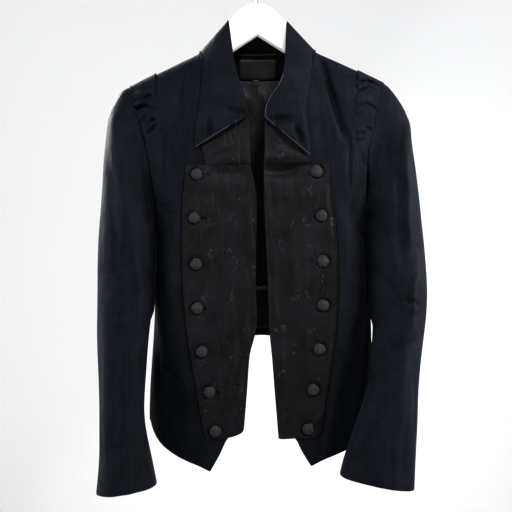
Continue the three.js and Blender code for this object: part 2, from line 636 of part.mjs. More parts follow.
// Outward normal of the body's surface, from small steps across and down.
function bodyNormal(side, face, x, z) {
  const w = shareAt(side, z, x);
  if (w > SEAM_SHARE) return new THREE.Vector3(side.sign, 0, 0);
  const across = (dw) => onBody(side, face, acrossAt(side, z, clamp(w + dw, 0, 1)), z);
  const along = (dz) => onBody(side, face, acrossAt(side, z + dz, w), z + dz);
  const a = across(SHARE_STEP).sub(across(-SHARE_STEP));
  const headroom = shoulderZ(x) - RIDGE_CLEAR / 4 - z;
  const b = along(-STEP_DOWN).sub(along(Math.min(headroom, STEP_UP)));
  const normal = a.cross(b).normalize();
  const out = normal.y * face + normal.x * side.sign + normal.z;
  return out < 0 ? normal.negate() : normal;
}

function lifted(side, face, x, z, lift) {
  return onBody(side, face, x, z).addScaledVector(bodyNormal(side, face, x, z), lift);
}

// Walls

function makeGeometry(positions, triangles) {
  const geometry = new THREE.BufferGeometry();
  geometry.setAttribute('position', new THREE.Float32BufferAttribute(positions, 3));
  geometry.setIndex(triangles);
  let volume = 0;
  const corner = (i) => new THREE.Vector3().fromArray(positions, 3 * i);
  for (let i = 0; i < triangles.length; i += 3) {
    const [a, b, c] = [0, 1, 2].map((k) => corner(triangles[i + k]));
    volume += a.dot(b.cross(c));
  }
  if (volume < 0) {
    for (let i = 0; i < triangles.length; i += 3) {
      [triangles[i + 1], triangles[i + 2]] = [triangles[i + 2], triangles[i + 1]];
    }
    geometry.setIndex(triangles);
  }
  const plain = geometry.toNonIndexed();
  plain.computeVertexNormals();
  return plain;
}

// A closed wall between a grid of outer points and a grid of inner points. "loops" joins the
// last row to the first, as round an armhole.
function wall(outer, inner, loops = false) {
  const rows = outer.length;
  const columns = outer[0].length;
  const positions = [];
  for (const grid of [outer, inner]) {
    for (const row of grid) {
      for (const point of row) positions.push(point.x, point.y, point.z);
    }
  }
  const at = (layer, i, j) => (layer * rows + (i % rows)) * columns + j;
  const triangles = [];
  const quad = (a, b, c, d) => triangles.push(a, b, c, a, c, d);
  const rowSteps = loops ? rows : rows - 1;
  for (let i = 0; i < rowSteps; i += 1) {
    for (let j = 0; j < columns - 1; j += 1) {
      quad(at(0, i, j), at(0, i, j + 1), at(0, i + 1, j + 1), at(0, i + 1, j));
      quad(at(1, i, j), at(1, i + 1, j), at(1, i + 1, j + 1), at(1, i, j + 1));
    }
    quad(at(0, i, 0), at(0, i + 1, 0), at(1, i + 1, 0), at(1, i, 0));
    const end = columns - 1;
    quad(at(0, i, end), at(1, i, end), at(1, i + 1, end), at(0, i + 1, end));
  }
  if (!loops) {
    for (let j = 0; j < columns - 1; j += 1) {
      quad(at(0, 0, j), at(1, 0, j), at(1, 0, j + 1), at(0, 0, j + 1));
      const end = rows - 1;
      quad(at(0, end, j), at(0, end, j + 1), at(1, end, j + 1), at(1, end, j));
    }
  }
  return makeGeometry(positions, triangles);
}

// A wall on the body: place(u, v) gives side, face, x and z, and the outer and inner lifts.
function wallOnBody(us, vs, place, loops = false) {
  const outer = [];
  const inner = [];
  for (const v of vs) {
    const outerRow = [];
    const innerRow = [];
    for (const u of us) {
      const spot = place(u, v);
      const point = onBody(spot.side, spot.face, spot.x, spot.z);
      const normal = bodyNormal(spot.side, spot.face, spot.x, spot.z);
      outerRow.push(point.clone().addScaledVector(normal, spot.outer));
      innerRow.push(point.clone().addScaledVector(normal, spot.inner));
    }
    outer.push(outerRow);
    inner.push(innerRow);
  }
  return wall(outer, inner, loops);
}

const group = new THREE.Group();

function material(color, roughness, metalness = 0) {
  return new THREE.MeshStandardMaterial({ color, roughness, metalness });
}

const MATERIALS = {
  crepe: material(0x14161f, 0.85),
  brocade: material(0x17171b, 0.7),
  covered: material(0x232429, 0.65),
  lining: material(0x55555c, 0.45),
  tape: material(0x0d0d10, 0.6),
  white: material(0xf2f2f0, 0.35),
  steel: material(0xb9bcc0, 0.25, 0.9),
};

function add(name, geometry, finish) {
  const mesh = new THREE.Mesh(geometry, finish);
  mesh.name = name;
  group.add(mesh);
  return mesh;
}

// Fronts

// The height on an edge that is given across, on the column u of a panel.
function edgeHeight(edge, acrossOf, u, start) {
  let z = start;
  for (let i = 0; i < 30; i += 1) z = lerp(z, edge(acrossOf(u, z)), 0.7);
  return z;
}

function panelSeam(side, z) {
  const lowered = z + GAP;
  if (lowered < RING_BOTTOM_Z) return body(side.name, z);
  return Math.min(read(PANEL_SEAM, 'z', side.name, lowered) - HALF_SEAM, body(side.name, z));
}

function panelAcross(side, centre) {
  return (u, z) => {
    const from = shareAt(side, z, centre(z));
    const to = shareAt(side, z, panelSeam(side, z));
    return acrossAt(side, z, lerp(from, to, u));
  };
}

// The columns u whose hem points lie at the given distances across.
function hemColumns(across, hem, distances) {
  const columns = distances.map((x) => {
    let low = 0;
    let high = 1;
    for (let i = 0; i < 40; i += 1) {
      const middle = (low + high) / 2;
      if (across(middle, edgeHeight(hem, across, middle, HEM_START_Z)) < x) low = middle;
      else high = middle;
    }
    return low;
  });
  return [0, ...columns.slice(1), 1];
}

// Shares of the height of a panel: rows that meet the armhole panel's own points down to the
// bottom of its ring, and even ones from there to the hem.
function panelRows(side) {
  const topZ = shoulderZ(PANEL_SEAM[0][side.name]);
  const hemZ = BACK_HEM[BACK_HEM.length - 1].z;
  const share = (RING_BOTTOM_Z - topZ) / (hemZ - topZ);
  const beside = range(0, Math.PI, HALF_TURNS).map((turn) => (share * (1 - Math.cos(turn))) / 2);
  return [...beside, ...range(share, 1, LOWER_ROWS).slice(1)];
}

function frontTop(x) {
  return x < NECK_X ? read(FRONT_NECK, 'x', 'z', x) : shoulderZ(x);
}

function addFront(side) {
  const across = panelAcross(side, (z) => read(CENTRE_EDGE, 'z', side.name, z));
  const hem = (x) => readStraight(FRONT_HEM[side.name], 'x', 'z', x);
  const us = hemColumns(across, hem, HEM_COLUMNS[side.name]);
  const vs = panelRows(side);
  const geometry = wallOnBody(us, vs, (u, v) => {
    const top = edgeHeight(frontTop, across, u, TOP_START_Z) - RIDGE_CLEAR;
    const bottom = edgeHeight(hem, across, u, HEM_START_Z);
    const z = lerp(top, bottom, v);
    return { side, face: FRONT, x: across(u, z), z, outer: 0, inner: -CLOTH };
  });
  add(`front_${side.name}`, geometry, MATERIALS.crepe);
}

// Back

function addBack() {
  const halves = SIDES.map((side) => panelAcross(side, () => 0));
  const top = (x) => (x < NECK_X ? read(BACK_NECK, 'x', 'z', x) : shoulderZ(x));
  const hem = (x) => read(BACK_HEM, 'x', 'z', x);
  const us = range(-1, 1, 18);
  const vs = panelRows(RIGHT);
  const geometry = wallOnBody(us, vs, (u, v) => {
    const side = u < 0 ? RIGHT : LEFT;
    const across = halves[u < 0 ? 0 : 1];
    const share = Math.abs(u);
    const highest = edgeHeight(top, across, share, TOP_START_Z) - RIDGE_CLEAR;
    const lowest = edgeHeight(hem, across, share, HEM_START_Z);
    const z = lerp(highest, lowest, v);
    return { side, face: BACK, x: across(share, z), z, outer: 0, inner: -CLOTH };
  });
  add('back', geometry, MATERIALS.crepe);
}

// Armhole panels: a ring of cloth between the body and the sleeve, gathered at the shoulder

// A point of the armhole's edge or of the panel's seam, at an angle from the shoulder round
// the front.
function ringSpot(side, rows, turn) {
  const topX = rows[0][side.name];
  const topZ = shoulderZ(topX) - RIDGE_CLEAR;
  const bottomZ = rows[rows.length - 1].z;
  const z = lerp(topZ, bottomZ, (1 - Math.cos(turn)) / 2);
  const x = Math.min(read(rows, 'z', side.name, z), body(side.name, z));
  return { x, z, face: turn <= Math.PI ? FRONT : BACK };
}

function addArmholePanel(side) {
  const turns = range(0, 2 * Math.PI, 2 * HALF_TURNS).slice(0, -1);
  const us = [0, 0.2, 0.4, 0.6, 0.8, 1];
  const outer = [];
  const inner = [];
  for (const turn of turns) {
    const seam = ringSpot(side, PANEL_SEAM, turn);
    const edge = ringSpot(side, ARMHOLE, turn);
    const fromTop = Math.min(turn, 2 * Math.PI - turn) / CAP_SPREAD;
    const cap = CAP_LIFT * Math.exp(-fromTop * fromTop);
    const outerRow = [];
    const innerRow = [];
    for (const u of us) {
      const wide = Math.hypot(edge.x - seam.x, edge.z - seam.z);
      const t = lerp(HALF_SEAM / wide, 1, u);
      const x = lerp(seam.x, edge.x, t);
      const z = Math.min(lerp(seam.z, edge.z, t), shoulderZ(x) - RIDGE_CLEAR);
      const gather = folded(GATHERS[side.name], x, z) * Math.sin(Math.PI * u) ** GATHER_ENDS;
      const proud = cap * lerp(1, CAP_EDGE_SHARE, u) - gather;
      const point = onBody(side, edge.face, x, z);
      const normal = bodyNormal(side, edge.face, x, z);
      outerRow.push(point.clone().addScaledVector(normal, proud));
      const under = Math.min(proud * CAP_INNER_SHARE, proud) - CLOTH;
      innerRow.push(point.clone().addScaledVector(normal, under));
    }
    outer.push(outerRow);
    inner.push(innerRow);
  }
  add(`armhole_panel_${side.name}`, wall(outer, inner, true), MATERIALS.crepe);
}

// Sleeves

function sleeveOval(row, turn) {
  const power = 2 / SLEEVE_SQUARE;
  const along = Math.sign(Math.cos(turn)) * Math.abs(Math.cos(turn)) ** power;
  const aside = Math.sign(Math.sin(turn)) * Math.abs(Math.sin(turn)) ** power;
  const x = lerp(row.inX, row.outX, (1 + along) / 2);
  const z = lerp(row.inZ, row.outZ, (1 + along) / 2);
  return new THREE.Vector3(x, row.y - row.half * aside, z);
}

// The edge of the armhole as the sleeve's first ring, with the seam's gap.
function armholePoint(side, turn) {
  const round = (turn + 2 * Math.PI) % (2 * Math.PI);
  const spot = ringSpot(side, ARMHOLE, round);
  const point = onBody(side, spot.face, spot.x, spot.z);
  return new THREE.Vector3(spot.x + SLEEVE_GAP, point.y, point.z);
}

// A point on the sleeve's outer surface, at positive x.
function sleevePoint(side, ring, turn) {
  if (ring === 0) return armholePoint(side, turn);
  const rows = SLEEVE[side.name];
  const point = sleeveOval(rows[ring - 1], turn);
  const shift = armholePoint(side, turn).sub(sleeveOval(ARMHOLE_OVAL[side.name], turn));
  return point.addScaledVector(shift, Math.exp(-ARMHOLE_FADE * ring));
}

// Which way is out in the ring's own plane.
function sleeveNormal(side, ring, turn) {
  const row = ring === 0 ? ARMHOLE_OVAL[side.name] : SLEEVE[side.name][ring - 1];
  const axis = new THREE.Vector3(row.outX - row.inX, 0, row.outZ - row.inZ);
  const across = new THREE.Vector3().crossVectors(axis, new THREE.Vector3(0, 1, 0));
  const step = 0.01;
  const tangent = sleevePoint(side, ring, turn + step).sub(sleevePoint(side, ring, turn - step));
  const normal = tangent.cross(across).normalize();
  const centre = new THREE.Vector3((row.outX + row.inX) / 2, row.y, (row.outZ + row.inZ) / 2);
  const out = sleevePoint(side, ring, turn).sub(centre);
  return normal.dot(out) < 0 ? normal.negate() : normal;
}

function sleeveFoldsOf(side) {
  return SLEEVE_FOLDS[side.name].map((fold) => ({
    x1: fold.t1,
    z1: fold.r1 * RING_SPREAD,
    x2: fold.t2,
    z2: fold.r2 * RING_SPREAD,
    width: fold.width,
    depth: fold.depth,
  }));
}

function addSleevePiece(side, name, columns, turnsOf) {
  const folds = sleeveFoldsOf(side);
  const outer = [];
  const inner = [];
  for (let ring = 0; ring <= SLEEVE[side.name].length; ring += 1) {
    const [from, to] = turnsOf(ring);
    const outerRow = [];
    const innerRow = [];
    for (const turn of range(from + SEAM_TURN, to - SEAM_TURN, columns)) {
      const point = sleevePoint(side, ring, turn);
      const normal = sleeveNormal(side, ring, turn);
      point.addScaledVector(normal, -folded(folds, turn, ring * RING_SPREAD));
      const within = point.clone().addScaledVector(normal, -CLOTH);
      for (const [row, spot] of [[outerRow, point], [innerRow, within]]) {
        spot.x *= side.sign;
        row.push(spot);
      }
    }
    outer.push(outerRow);
    inner.push(innerRow);
  }
  add(name, wall(outer, inner), MATERIALS.crepe);
}

function addSleeve(side) {
  const hind = (ring) => read(HIND_SEAM[side.name], 'ring', 'turn', ring);
  addSleevePiece(side, `upper_sleeve_${side.name}`, 12, (ring) => [hind(ring), FORE_SEAM]);
  addSleevePiece(side, `under_sleeve_${side.name}`, 8, (ring) => [
    FORE_SEAM,
    hind(ring) + 2 * Math.PI,
  ]);
}

// Plastrons and the brocade facing above them

function addPlastron(side) {
  const inside = (z) => read(PLASTRON_EDGES, 'z', `${side.name}In`, z);
  const outside = (z) => read(PLASTRON_EDGES, 'z', `${side.name}Out`, z);
  const across = (u, z) => lerp(inside(z), outside(z), u);
  const hem = (x) => readStraight(PLASTRON_HEM[side.name], 'x', 'z', x);
  const us = [0, 0.04, 0.2, 0.4, 0.6, 0.8, 0.95, 1];
  const vs = range(0, 1, 20);
  const geometry = wallOnBody(us, vs, (u, v) => {
    const z = lerp(PLASTRON_TOP_Z, edgeHeight(hem, across, u, HEM_START_Z), v);
    const outer = GAP + PLASTRON_CLOTH + PLASTRON_ROLL * Math.exp(-u / ROLL_SHARE);
    return { side, face: FRONT, x: across(u, z), z, outer, inner: GAP };
  });
  add(`plastron_${side.name}`, geometry, MATERIALS.brocade);
}

function addNeckFacing(side) {
  const column = (edge, z) => read(NECK_FACING, 'z', `${side.name}${edge}`, z);
  const top = NECK_FACING[0].z;
  const bottom = NECK_FACING[NECK_FACING.length - 1].z;
  const geometry = wallOnBody(range(0, 1, 6), range(0, 1, 7), (u, v) => {
    const z = lerp(top, bottom, v);
    const x = lerp(column('In', z), column('Out', z), u);
    return { side, face: FRONT, x, z, outer: GAP + CLOTH, inner: GAP };
  });
  add(`neck_facing_${side.name}`, geometry, MATERIALS.brocade);
}

// Collar: one ribbon of sections from the right wing round the neck to the left wing

function wingSection(side, row) {
  return (w) => {
    const x = lerp(row.seamX, row.edgeX, w);
    const z = lerp(row.seamZ, row.edgeZ, w);
    const roll = COLLAR_ROLL * Math.sin(Math.PI * w);
    return lifted(side, FRONT, x, z, lerp(row.seamLift, row.edgeLift, w) + roll);
  };
}

function standSection(side, row) {
  const seam = new THREE.Vector3(side.sign * row.seamX, row.seamY, row.seamZ);
  const edge = new THREE.Vector3(side.sign * row.edgeX, row.edgeY, row.edgeZ);
  return (w) => seam.clone().lerp(edge, w);
}

function backSection(side, row) {
  const z = read(BACK_NECK, 'x', 'z', row.x);
  const seam = onBody(side, BACK, row.x, z);
  seam.z += GAP + HALF_SEAM;
  const edge = new THREE.Vector3(side.sign * row.edgeX, row.edgeY, row.edgeZ);
  return (w) => seam.clone().lerp(edge, w);
}

function collarSections() {
  const half = (side) => [
    ...WING[side.name].map((row) => wingSection(side, row)),
    ...STAND[side.name].map((row) => standSection(side, row)),
    ...STAND_BACK.map((row) => backSection(side, row)),
  ];
  return [...half(RIGHT), ...half(LEFT).reverse().slice(1)];
}

function addCollar() {
  const sections = collarSections();
  const ws = range(0, 1, 5);
  const curves = ws.map((w) => new THREE.CatmullRomCurve3(sections.map((section) => section(w))));
  const steps = range(0, 1, COLLAR_STEPS);
  const outer = steps.map((t) => curves.map((curve) => curve.getPoint(t)));
  const normal = (i, j) => {
    const before = outer[Math.max(i - 1, 0)][j];
    const after = outer[Math.min(i + 1, outer.length - 1)][j];
    const low = outer[i][Math.max(j - 1, 0)];
    const high = outer[i][Math.min(j + 1, ws.length - 1)];
    return after.clone().sub(before).cross(high.clone().sub(low)).normalize();
  };
  const inward = Math.sign(normal(0, 0).y);
  const inner = outer.map((row, i) =>
    row.map((point, j) => point.clone().addScaledVector(normal(i, j), inward * COLLAR_CLOTH)),
  );
  add('collar', wall(outer, inner), MATERIALS.crepe);
}

// Buttons and welts

function addButtons(side) {
  const profile = BUTTON_PROFILE.map(
    (row) => new THREE.Vector2(row.out * BUTTON_RADIUS, row.up * BUTTON_HEIGHT),
  );
  BUTTONS[side.name].forEach((spot, i) => {
    const geometry = new THREE.LatheGeometry(profile, BUTTON_SIDES);
    const mesh = add(`button_${side.name}_${i + 1}`, geometry, MATERIALS.covered);
    const lift = GAP + PLASTRON_CLOTH + GAP;
    mesh.position.copy(lifted(side, FRONT, spot.x, spot.z, lift));
    const normal = bodyNormal(side, FRONT, spot.x, spot.z);
    mesh.quaternion.setFromUnitVectors(new THREE.Vector3(0, 1, 0), normal);
  });
}

function addWelt(side) {
  const rows = WELTS[side.name];
  const us = range(rows[0].x, rows[rows.length - 1].x, 6);
  const geometry = wallOnBody(us, [-1, 0, 1], (x, v) => {
    const z = read(rows, 'x', 'z', x) + v * WELT_HALF;
    const outer = GAP + WELT_CLOTH * (1 - WELT_TAPER * Math.abs(v));
    return { side, face: FRONT, x, z, outer, inner: GAP };
  });
  add(`pocket_welt_${side.name}`, geometry, MATERIALS.crepe);
}

// Inside the back

// A layer inside the back, between two lifts, given by signed distances across.
function addInside(name, xs, vs, heightAt, top, cloth, finish, bow = () => 0) {
  const geometry = wallOnBody(xs, vs, (x, v) => {
    const side = x < 0 ? RIGHT : LEFT;
    const outer = -(top + bow(x));
    return { side, face: BACK, x: Math.abs(x), z: heightAt(x, v), outer, inner: outer - cloth };
  });
  add(name, geometry, finish);
}

function addBackInside() {
  const first = CLOTH + GAP;
  const second = first + THIN_CLOTH + GAP;
  const facing = BACK_FACING;
  addInside('back_neck_facing', range(-facing.half, facing.half, 10), range(0, 1, 3), (x, v) => {
    const top = read(BACK_NECK, 'x', 'z', Math.abs(x)) - facing.inset;
    const low = facing.bottomZ - facing.midDrop * (1 - (x / facing.half) ** 2);
    return lerp(top, low, v);
  }, first, THIN_CLOTH, MATERIALS.crepe);
  addInside('back_lining', range(-LINING.half, LINING.half, 10), range(0, 1, 12), (x, v) => {
    const share = Math.min(Math.abs(x) / facing.half, 1);
    const top = facing.bottomZ - GAP - facing.midDrop * (1 - share ** 2);
    const low = read(BACK_HEM, 'x', 'z', Math.abs(x)) + LINING.hemInset;
    return lerp(top, low, v);
  }, LINING.lift, THIN_CLOTH, MATERIALS.lining);
  const flat = (tab) => (x, v) => lerp(tab.topZ, tab.bottomZ, v);
  const strip = (tab, count) => range(tab.x1, tab.x2, count);
  const ends = [0, 0.5, 1];
  addInside('neck_label', strip(LABEL, 4), ends, flat(LABEL), second, LABEL_CLOTH, MATERIALS.tape);
  const third = LINING.lift + THIN_CLOTH + GAP;
  addInside('size_tab', strip(SIZE_TAB, 2), ends, flat(SIZE_TAB), third, LABEL_CLOTH, MATERIALS.tape);
  const loop = HANG_LOOP;
  const sag = (x) => loop.bow * Math.sin((Math.PI * (x - loop.x1)) / (loop.x2 - loop.x1));
  addInside('hang_loop', strip(loop, 8), ends, flat(loop), second, LABEL_CLOTH, MATERIALS.tape, sag);
}

// Hanger and hook

function hangerShape() {
  const arm = range(NECK_X, HANGER_ARM_END, 6).map((x) => ({ x, z: shoulderZ(x) - HANGER_CLEAR }));
  const half = [...HANGER_DOME, ...arm, ...HANGER_UNDERSIDE];
  const other = half.slice(1, -1).reverse().map((spot) => ({ x: -spot.x, z: spot.z }));
  return new THREE.Shape([...half, ...other].map((spot) => new THREE.Vector2(spot.x, spot.z)));
}

function manifoldOf(geometry) {
  const bare = geometry.clone();
  bare.deleteAttribute('normal');
  bare.deleteAttribute('uv');
  const merged = mergeVertices(bare, 1e-4);
  return new wasm.Manifold(new wasm.Mesh({
    numProp: 3,
    vertProperties: new Float32Array(merged.attributes.position.array),
    triVerts: new Uint32Array(merged.index.array),
  }));
}

function geometryOf(solid) {
  const mesh = solid.getMesh();
  const geometry = new THREE.BufferGeometry();
  geometry.setAttribute('position', new THREE.Float32BufferAttribute(mesh.vertProperties, 3));
  geometry.setIndex([...mesh.triVerts]);
  const plain = geometry.toNonIndexed();
  plain.computeVertexNormals();
  return plain;
}

function addHanger() {
  const plate = new THREE.ExtrudeGeometry(hangerShape(), {
    depth: 2 * (HANGER_HALF - HANGER_BEVEL),
    bevelEnabled: true,
    bevelThickness: HANGER_BEVEL,
    bevelSize: HANGER_BEVEL_DROP,
    bevelOffset: -HANGER_BEVEL_DROP,
    bevelSegments: 1,
  });
  plate.translate(0, 0, -(HANGER_HALF - HANGER_BEVEL));
  plate.rotateX(Math.PI / 2);
  const boreLength = STEM_TOP_Z - STEM_BOTTOM_Z + 2 * GAP;
  const bore = new THREE.CylinderGeometry(HOOK_BORE_RADIUS, HOOK_BORE_RADIUS, boreLength, 12);
  bore.rotateX(Math.PI / 2);
  bore.translate(0, 0, (STEM_TOP_Z + STEM_BOTTOM_Z) / 2);
  add('hanger', geometryOf(manifoldOf(plate).subtract(manifoldOf(bore))), MATERIALS.white);
}

function addHook() {
  const middle = HOOK_INNER_RADIUS + HOOK_WIRE_RADIUS;
  const bend = range(HOOK_START, HOOK_END, 12).map((turn) =>
    new THREE.Vector3(middle * Math.cos(turn), 0, middle * Math.sin(turn) - HOOK_INNER_RADIUS),
  );
  const stem = [STEM_BOTTOM_Z, -74, -66, -60, STEM_TOP_Z].map((z) => new THREE.Vector3(0, 0, z));
  const path = new THREE.CatmullRomCurve3([...stem, ...bend]);
  const ring = range(0, 2 * Math.PI, WIRE_SIDES).slice(0, -1);
  const section = new THREE.Shape(ring.map((turn) =>
    new THREE.Vector2(HOOK_WIRE_RADIUS * Math.cos(turn), HOOK_WIRE_RADIUS * Math.sin(turn)),
  ));
  const geometry = new THREE.ExtrudeGeometry(section, { steps: 26, extrudePath: path });
  add('hanger_hook', geometry, MATERIALS.steel);
}

addHanger();
addHook();
addBack();
addBackInside();
addCollar();
for (const side of SIDES) {
  addFront(side);
  addArmholePanel(side);
  addSleeve(side);
  addNeckFacing(side);
  addPlastron(side);
  addWelt(side);
  addButtons(side);
}

export default group;
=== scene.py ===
"""Dresses the double-breasted jacket on its hanger: cloth, buttons, trims, light and camera.

The tables hold millimetres in the part's own frame. The origin is the point where the hook
hangs, +X is the wearer's left, the front faces -Y and heights are negative.
"""

import logging
import math
from collections.abc import Callable
from dataclasses import dataclass, field
from enum import Enum
from typing import ClassVar

import bmesh
import bpy
import numpy as np
from mathutils import Matrix, Vector
from mathutils.bvhtree import BVHTree


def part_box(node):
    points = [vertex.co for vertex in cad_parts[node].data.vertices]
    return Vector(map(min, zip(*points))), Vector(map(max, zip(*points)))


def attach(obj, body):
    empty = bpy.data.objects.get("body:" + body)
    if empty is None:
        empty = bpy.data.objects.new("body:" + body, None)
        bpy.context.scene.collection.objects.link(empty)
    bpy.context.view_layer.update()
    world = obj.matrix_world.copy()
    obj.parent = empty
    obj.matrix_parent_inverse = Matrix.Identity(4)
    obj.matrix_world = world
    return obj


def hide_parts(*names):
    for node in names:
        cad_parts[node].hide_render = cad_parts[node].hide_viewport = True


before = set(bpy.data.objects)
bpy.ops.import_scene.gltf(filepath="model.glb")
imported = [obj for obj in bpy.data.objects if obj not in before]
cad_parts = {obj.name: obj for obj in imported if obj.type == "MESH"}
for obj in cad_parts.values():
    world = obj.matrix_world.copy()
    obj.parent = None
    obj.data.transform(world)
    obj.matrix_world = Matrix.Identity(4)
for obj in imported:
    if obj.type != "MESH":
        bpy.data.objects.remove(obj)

log = logging.getLogger("jacket")

MM = 0.001
BODY = "root"
MERGE_DISTANCE = 1e-6
RIM_ANGLE = math.radians(50)  # edges sharper than this bound a cloth's cut rim
RIM_SIDES = 2  # a rim's face has at least this many sharp edges
FLAT_PAIR = math.radians(40)  # triangles bent less than this are joined across their diagonal
LEFT_PAIR = math.radians(60)  # and those left over, when bent less than this
LEFT_SHAPE = math.radians(120)
CORNER_PULL = 0.3  # a rim corner whose faces pull it less than this stays
SEAM_LEAD = 2.0  # how far behind the side seams a face's creases start
SEAM_RUN = 14.0  # the depth over which they grow to their full strength
LINE_PROBE = 0.2  # how far in front of the cloth a probing line starts
SQUARE_TURN = math.pi / 2

Colour = tuple[float, float, float]
Socketable = float | tuple[float, ...] | bpy.types.NodeSocket
Shift = Callable[[np.ndarray], np.ndarray]
Point = tuple[float, float, float]


class Side(Enum):
    """A side of the wearer, by the sign of X that it lies on."""

    RIGHT = -1
    LEFT = 1

    @property
    def label(self) -> str:
        """The side's name in the part's nodes."""
        return self.name.lower()


class Face(Enum):
    """The face of the body that a layer of cloth lies on, by the sign of Y."""

    FRONT = -1
    BACK = 1


class Held(Enum):
    """How a sheet of cloth is held."""

    HUNG = "hung"
    GATHERED = "gathered"
    FOLDED = "folded"
    LAID = "laid"


class Maths(Enum):
    """The sums that a finish works out."""

    ADD = "ADD"
    SUBTRACT = "SUBTRACT"
    MULTIPLY = "MULTIPLY"
    POWER = "POWER"
    SINE = "SINE"
    COSINE = "COSINE"
    ARCTAN2 = "ARCTAN2"
    MAXIMUM = "MAXIMUM"
    ABSOLUTE = "ABSOLUTE"


class Graph:
    """A material's shader nodes, added one at a time."""

    def __init__(self, name: str) -> None:
        """Starts a material that holds a bare Principled shader.

        Args:
            name: The material's name.
        """
        self.material = bpy.data.materials.new(name)
        self.material.use_nodes = True
        self.nodes = self.material.node_tree.nodes
        self.links = self.material.node_tree.links
        self.shader = self.nodes["Principled BSDF"]

    def feed(self, socket: bpy.types.NodeSocket, value: Socketable) -> None:
        """Links a socket to another one, or sets its value.

        Args:
            socket: The input to feed.
            value: A number, a colour, a vector or another node's output.
        """
        if isinstance(value, bpy.types.NodeSocket):
            self.links.new(value, socket)
        else:
            socket.default_value = value

    def add(self, kind: str, **inputs: Socketable) -> bpy.types.Node:
        """Adds a node and feeds its inputs.

        Args:
            kind: The node's type, without its ShaderNode prefix.
            inputs: What goes into each input, by its name with spaces as underscores.

        Returns:
            The new node.
        """
        node = self.nodes.new(f"ShaderNode{kind}")
        for name, value in inputs.items():
            self.feed(node.inputs[name.replace("_", " ")], value)
        return node

    def sum(self, operation: Maths, *values: Socketable) -> bpy.types.NodeSocket:
        """Adds a Math node.

        Args:
            operation: The sum to work out.
            values: Its operands in order.

        Returns:
            The result's socket.
        """
        node = self.nodes.new("ShaderNodeMath")
        node.operation = operation.value
        for socket, value in zip(node.inputs, values):
            self.feed(socket, value)
        return node.outputs[0]

    def place(self) -> bpy.types.NodeSocket:
        """The piece's own coordinates, in metres."""
        return self.nodes.new("ShaderNodeTexCoord").outputs["Object"]

    def stretched(self, scale: Point, turn: Point = (0.0, 0.0, 0.0)) -> bpy.types.NodeSocket:
        """The piece's coordinates, turned and stretched.

        Args:
            scale: Scale along X, Y and Z.
            turn: Turn about X, Y and Z, in radians.

        Returns:
            The mapped coordinates' socket.
        """
        node = self.add("Mapping", Vector=self.place(), Rotation=turn, Scale=scale)
        return node.outputs[0]

    def noise(self, scale: float, detail: float = 2.0, roughness: float = 0.5,
              vector: bpy.types.NodeSocket | None = None) -> bpy.types.NodeSocket:
        """Adds a Noise texture.

        Args:
            scale: Features to the metre, roughly.
            detail: Octaves.
            roughness: How much the finer octaves count.
            vector: Coordinates, or the piece's own if left out.

        Returns:
            The noise value's socket.
        """
        node = self.add("TexNoise", Vector=vector or self.place(), Scale=scale, Detail=detail,
                        Roughness=roughness)
        return node.outputs["Fac"]

    def level(self, value: Socketable, low: float, high: float) -> bpy.types.NodeSocket:
        """Rises smoothly from 0 to 1 as a value goes from low to high.

        Args:
            value: What to read.
            low: Where the result is 0.
            high: Where the result is 1.

        Returns:
            The result's socket.
        """
        node = self.nodes.new("ShaderNodeMapRange")
        node.interpolation_type = "SMOOTHSTEP"
        for name, given in (("Value", value), ("From Min", low), ("From Max", high)):
            self.feed(node.inputs[name], given)
        return node.outputs[0]

    def blend(self, share: Socketable, first: Socketable,
              second: Socketable) -> bpy.types.NodeSocket:
        """Mixes two colours.

        Args:
            share: How much of the second shows.
            first: A colour, or a socket that gives one.
            second: A colour, or a socket that gives one.

        Returns:
            The mixed colour's socket.
        """
        node = self.nodes.new("ShaderNodeMix")
        node.data_type = "RGBA"
        colours = [(*c, 1.0) if isinstance(c, tuple) else c for c in (first, second)]
        for index, value in ((0, share), (6, colours[0]), (7, colours[1])):
            self.feed(node.inputs[index], value)
        return node.outputs[2]

    def bump(self, height: Socketable, distance: float, strength: float = 1.0,
             normal: bpy.types.NodeSocket | None = None) -> bpy.types.NodeSocket:
        """Adds a Bump node.

        Args:
            height: The relief's height, from 0 to 1.
            distance: The relief's depth in metres.
            strength: Its strength.
            normal: A normal to build on.

        Returns:
            The bumped normal's socket.
        """
        node = self.add("Bump", Height=height, Distance=distance, Strength=strength)
        if normal is not None:
            self.feed(node.inputs["Normal"], normal)
        return node.outputs[0]

    def finish(self, **inputs: Socketable) -> bpy.types.Material:
        """Feeds the shader and gives the material.

        Args:
            inputs: What goes into each of the shader's inputs, by name.

        Returns:
            The finished material.
        """
        for name, value in inputs.items():
            if isinstance(value, tuple) and len(value) == 3 and name.endswith(("Color", "Tint")):
                value = (*value, 1.0)
            self.feed(self.shader.inputs[name.replace("_", " ")], value)
        return self.material


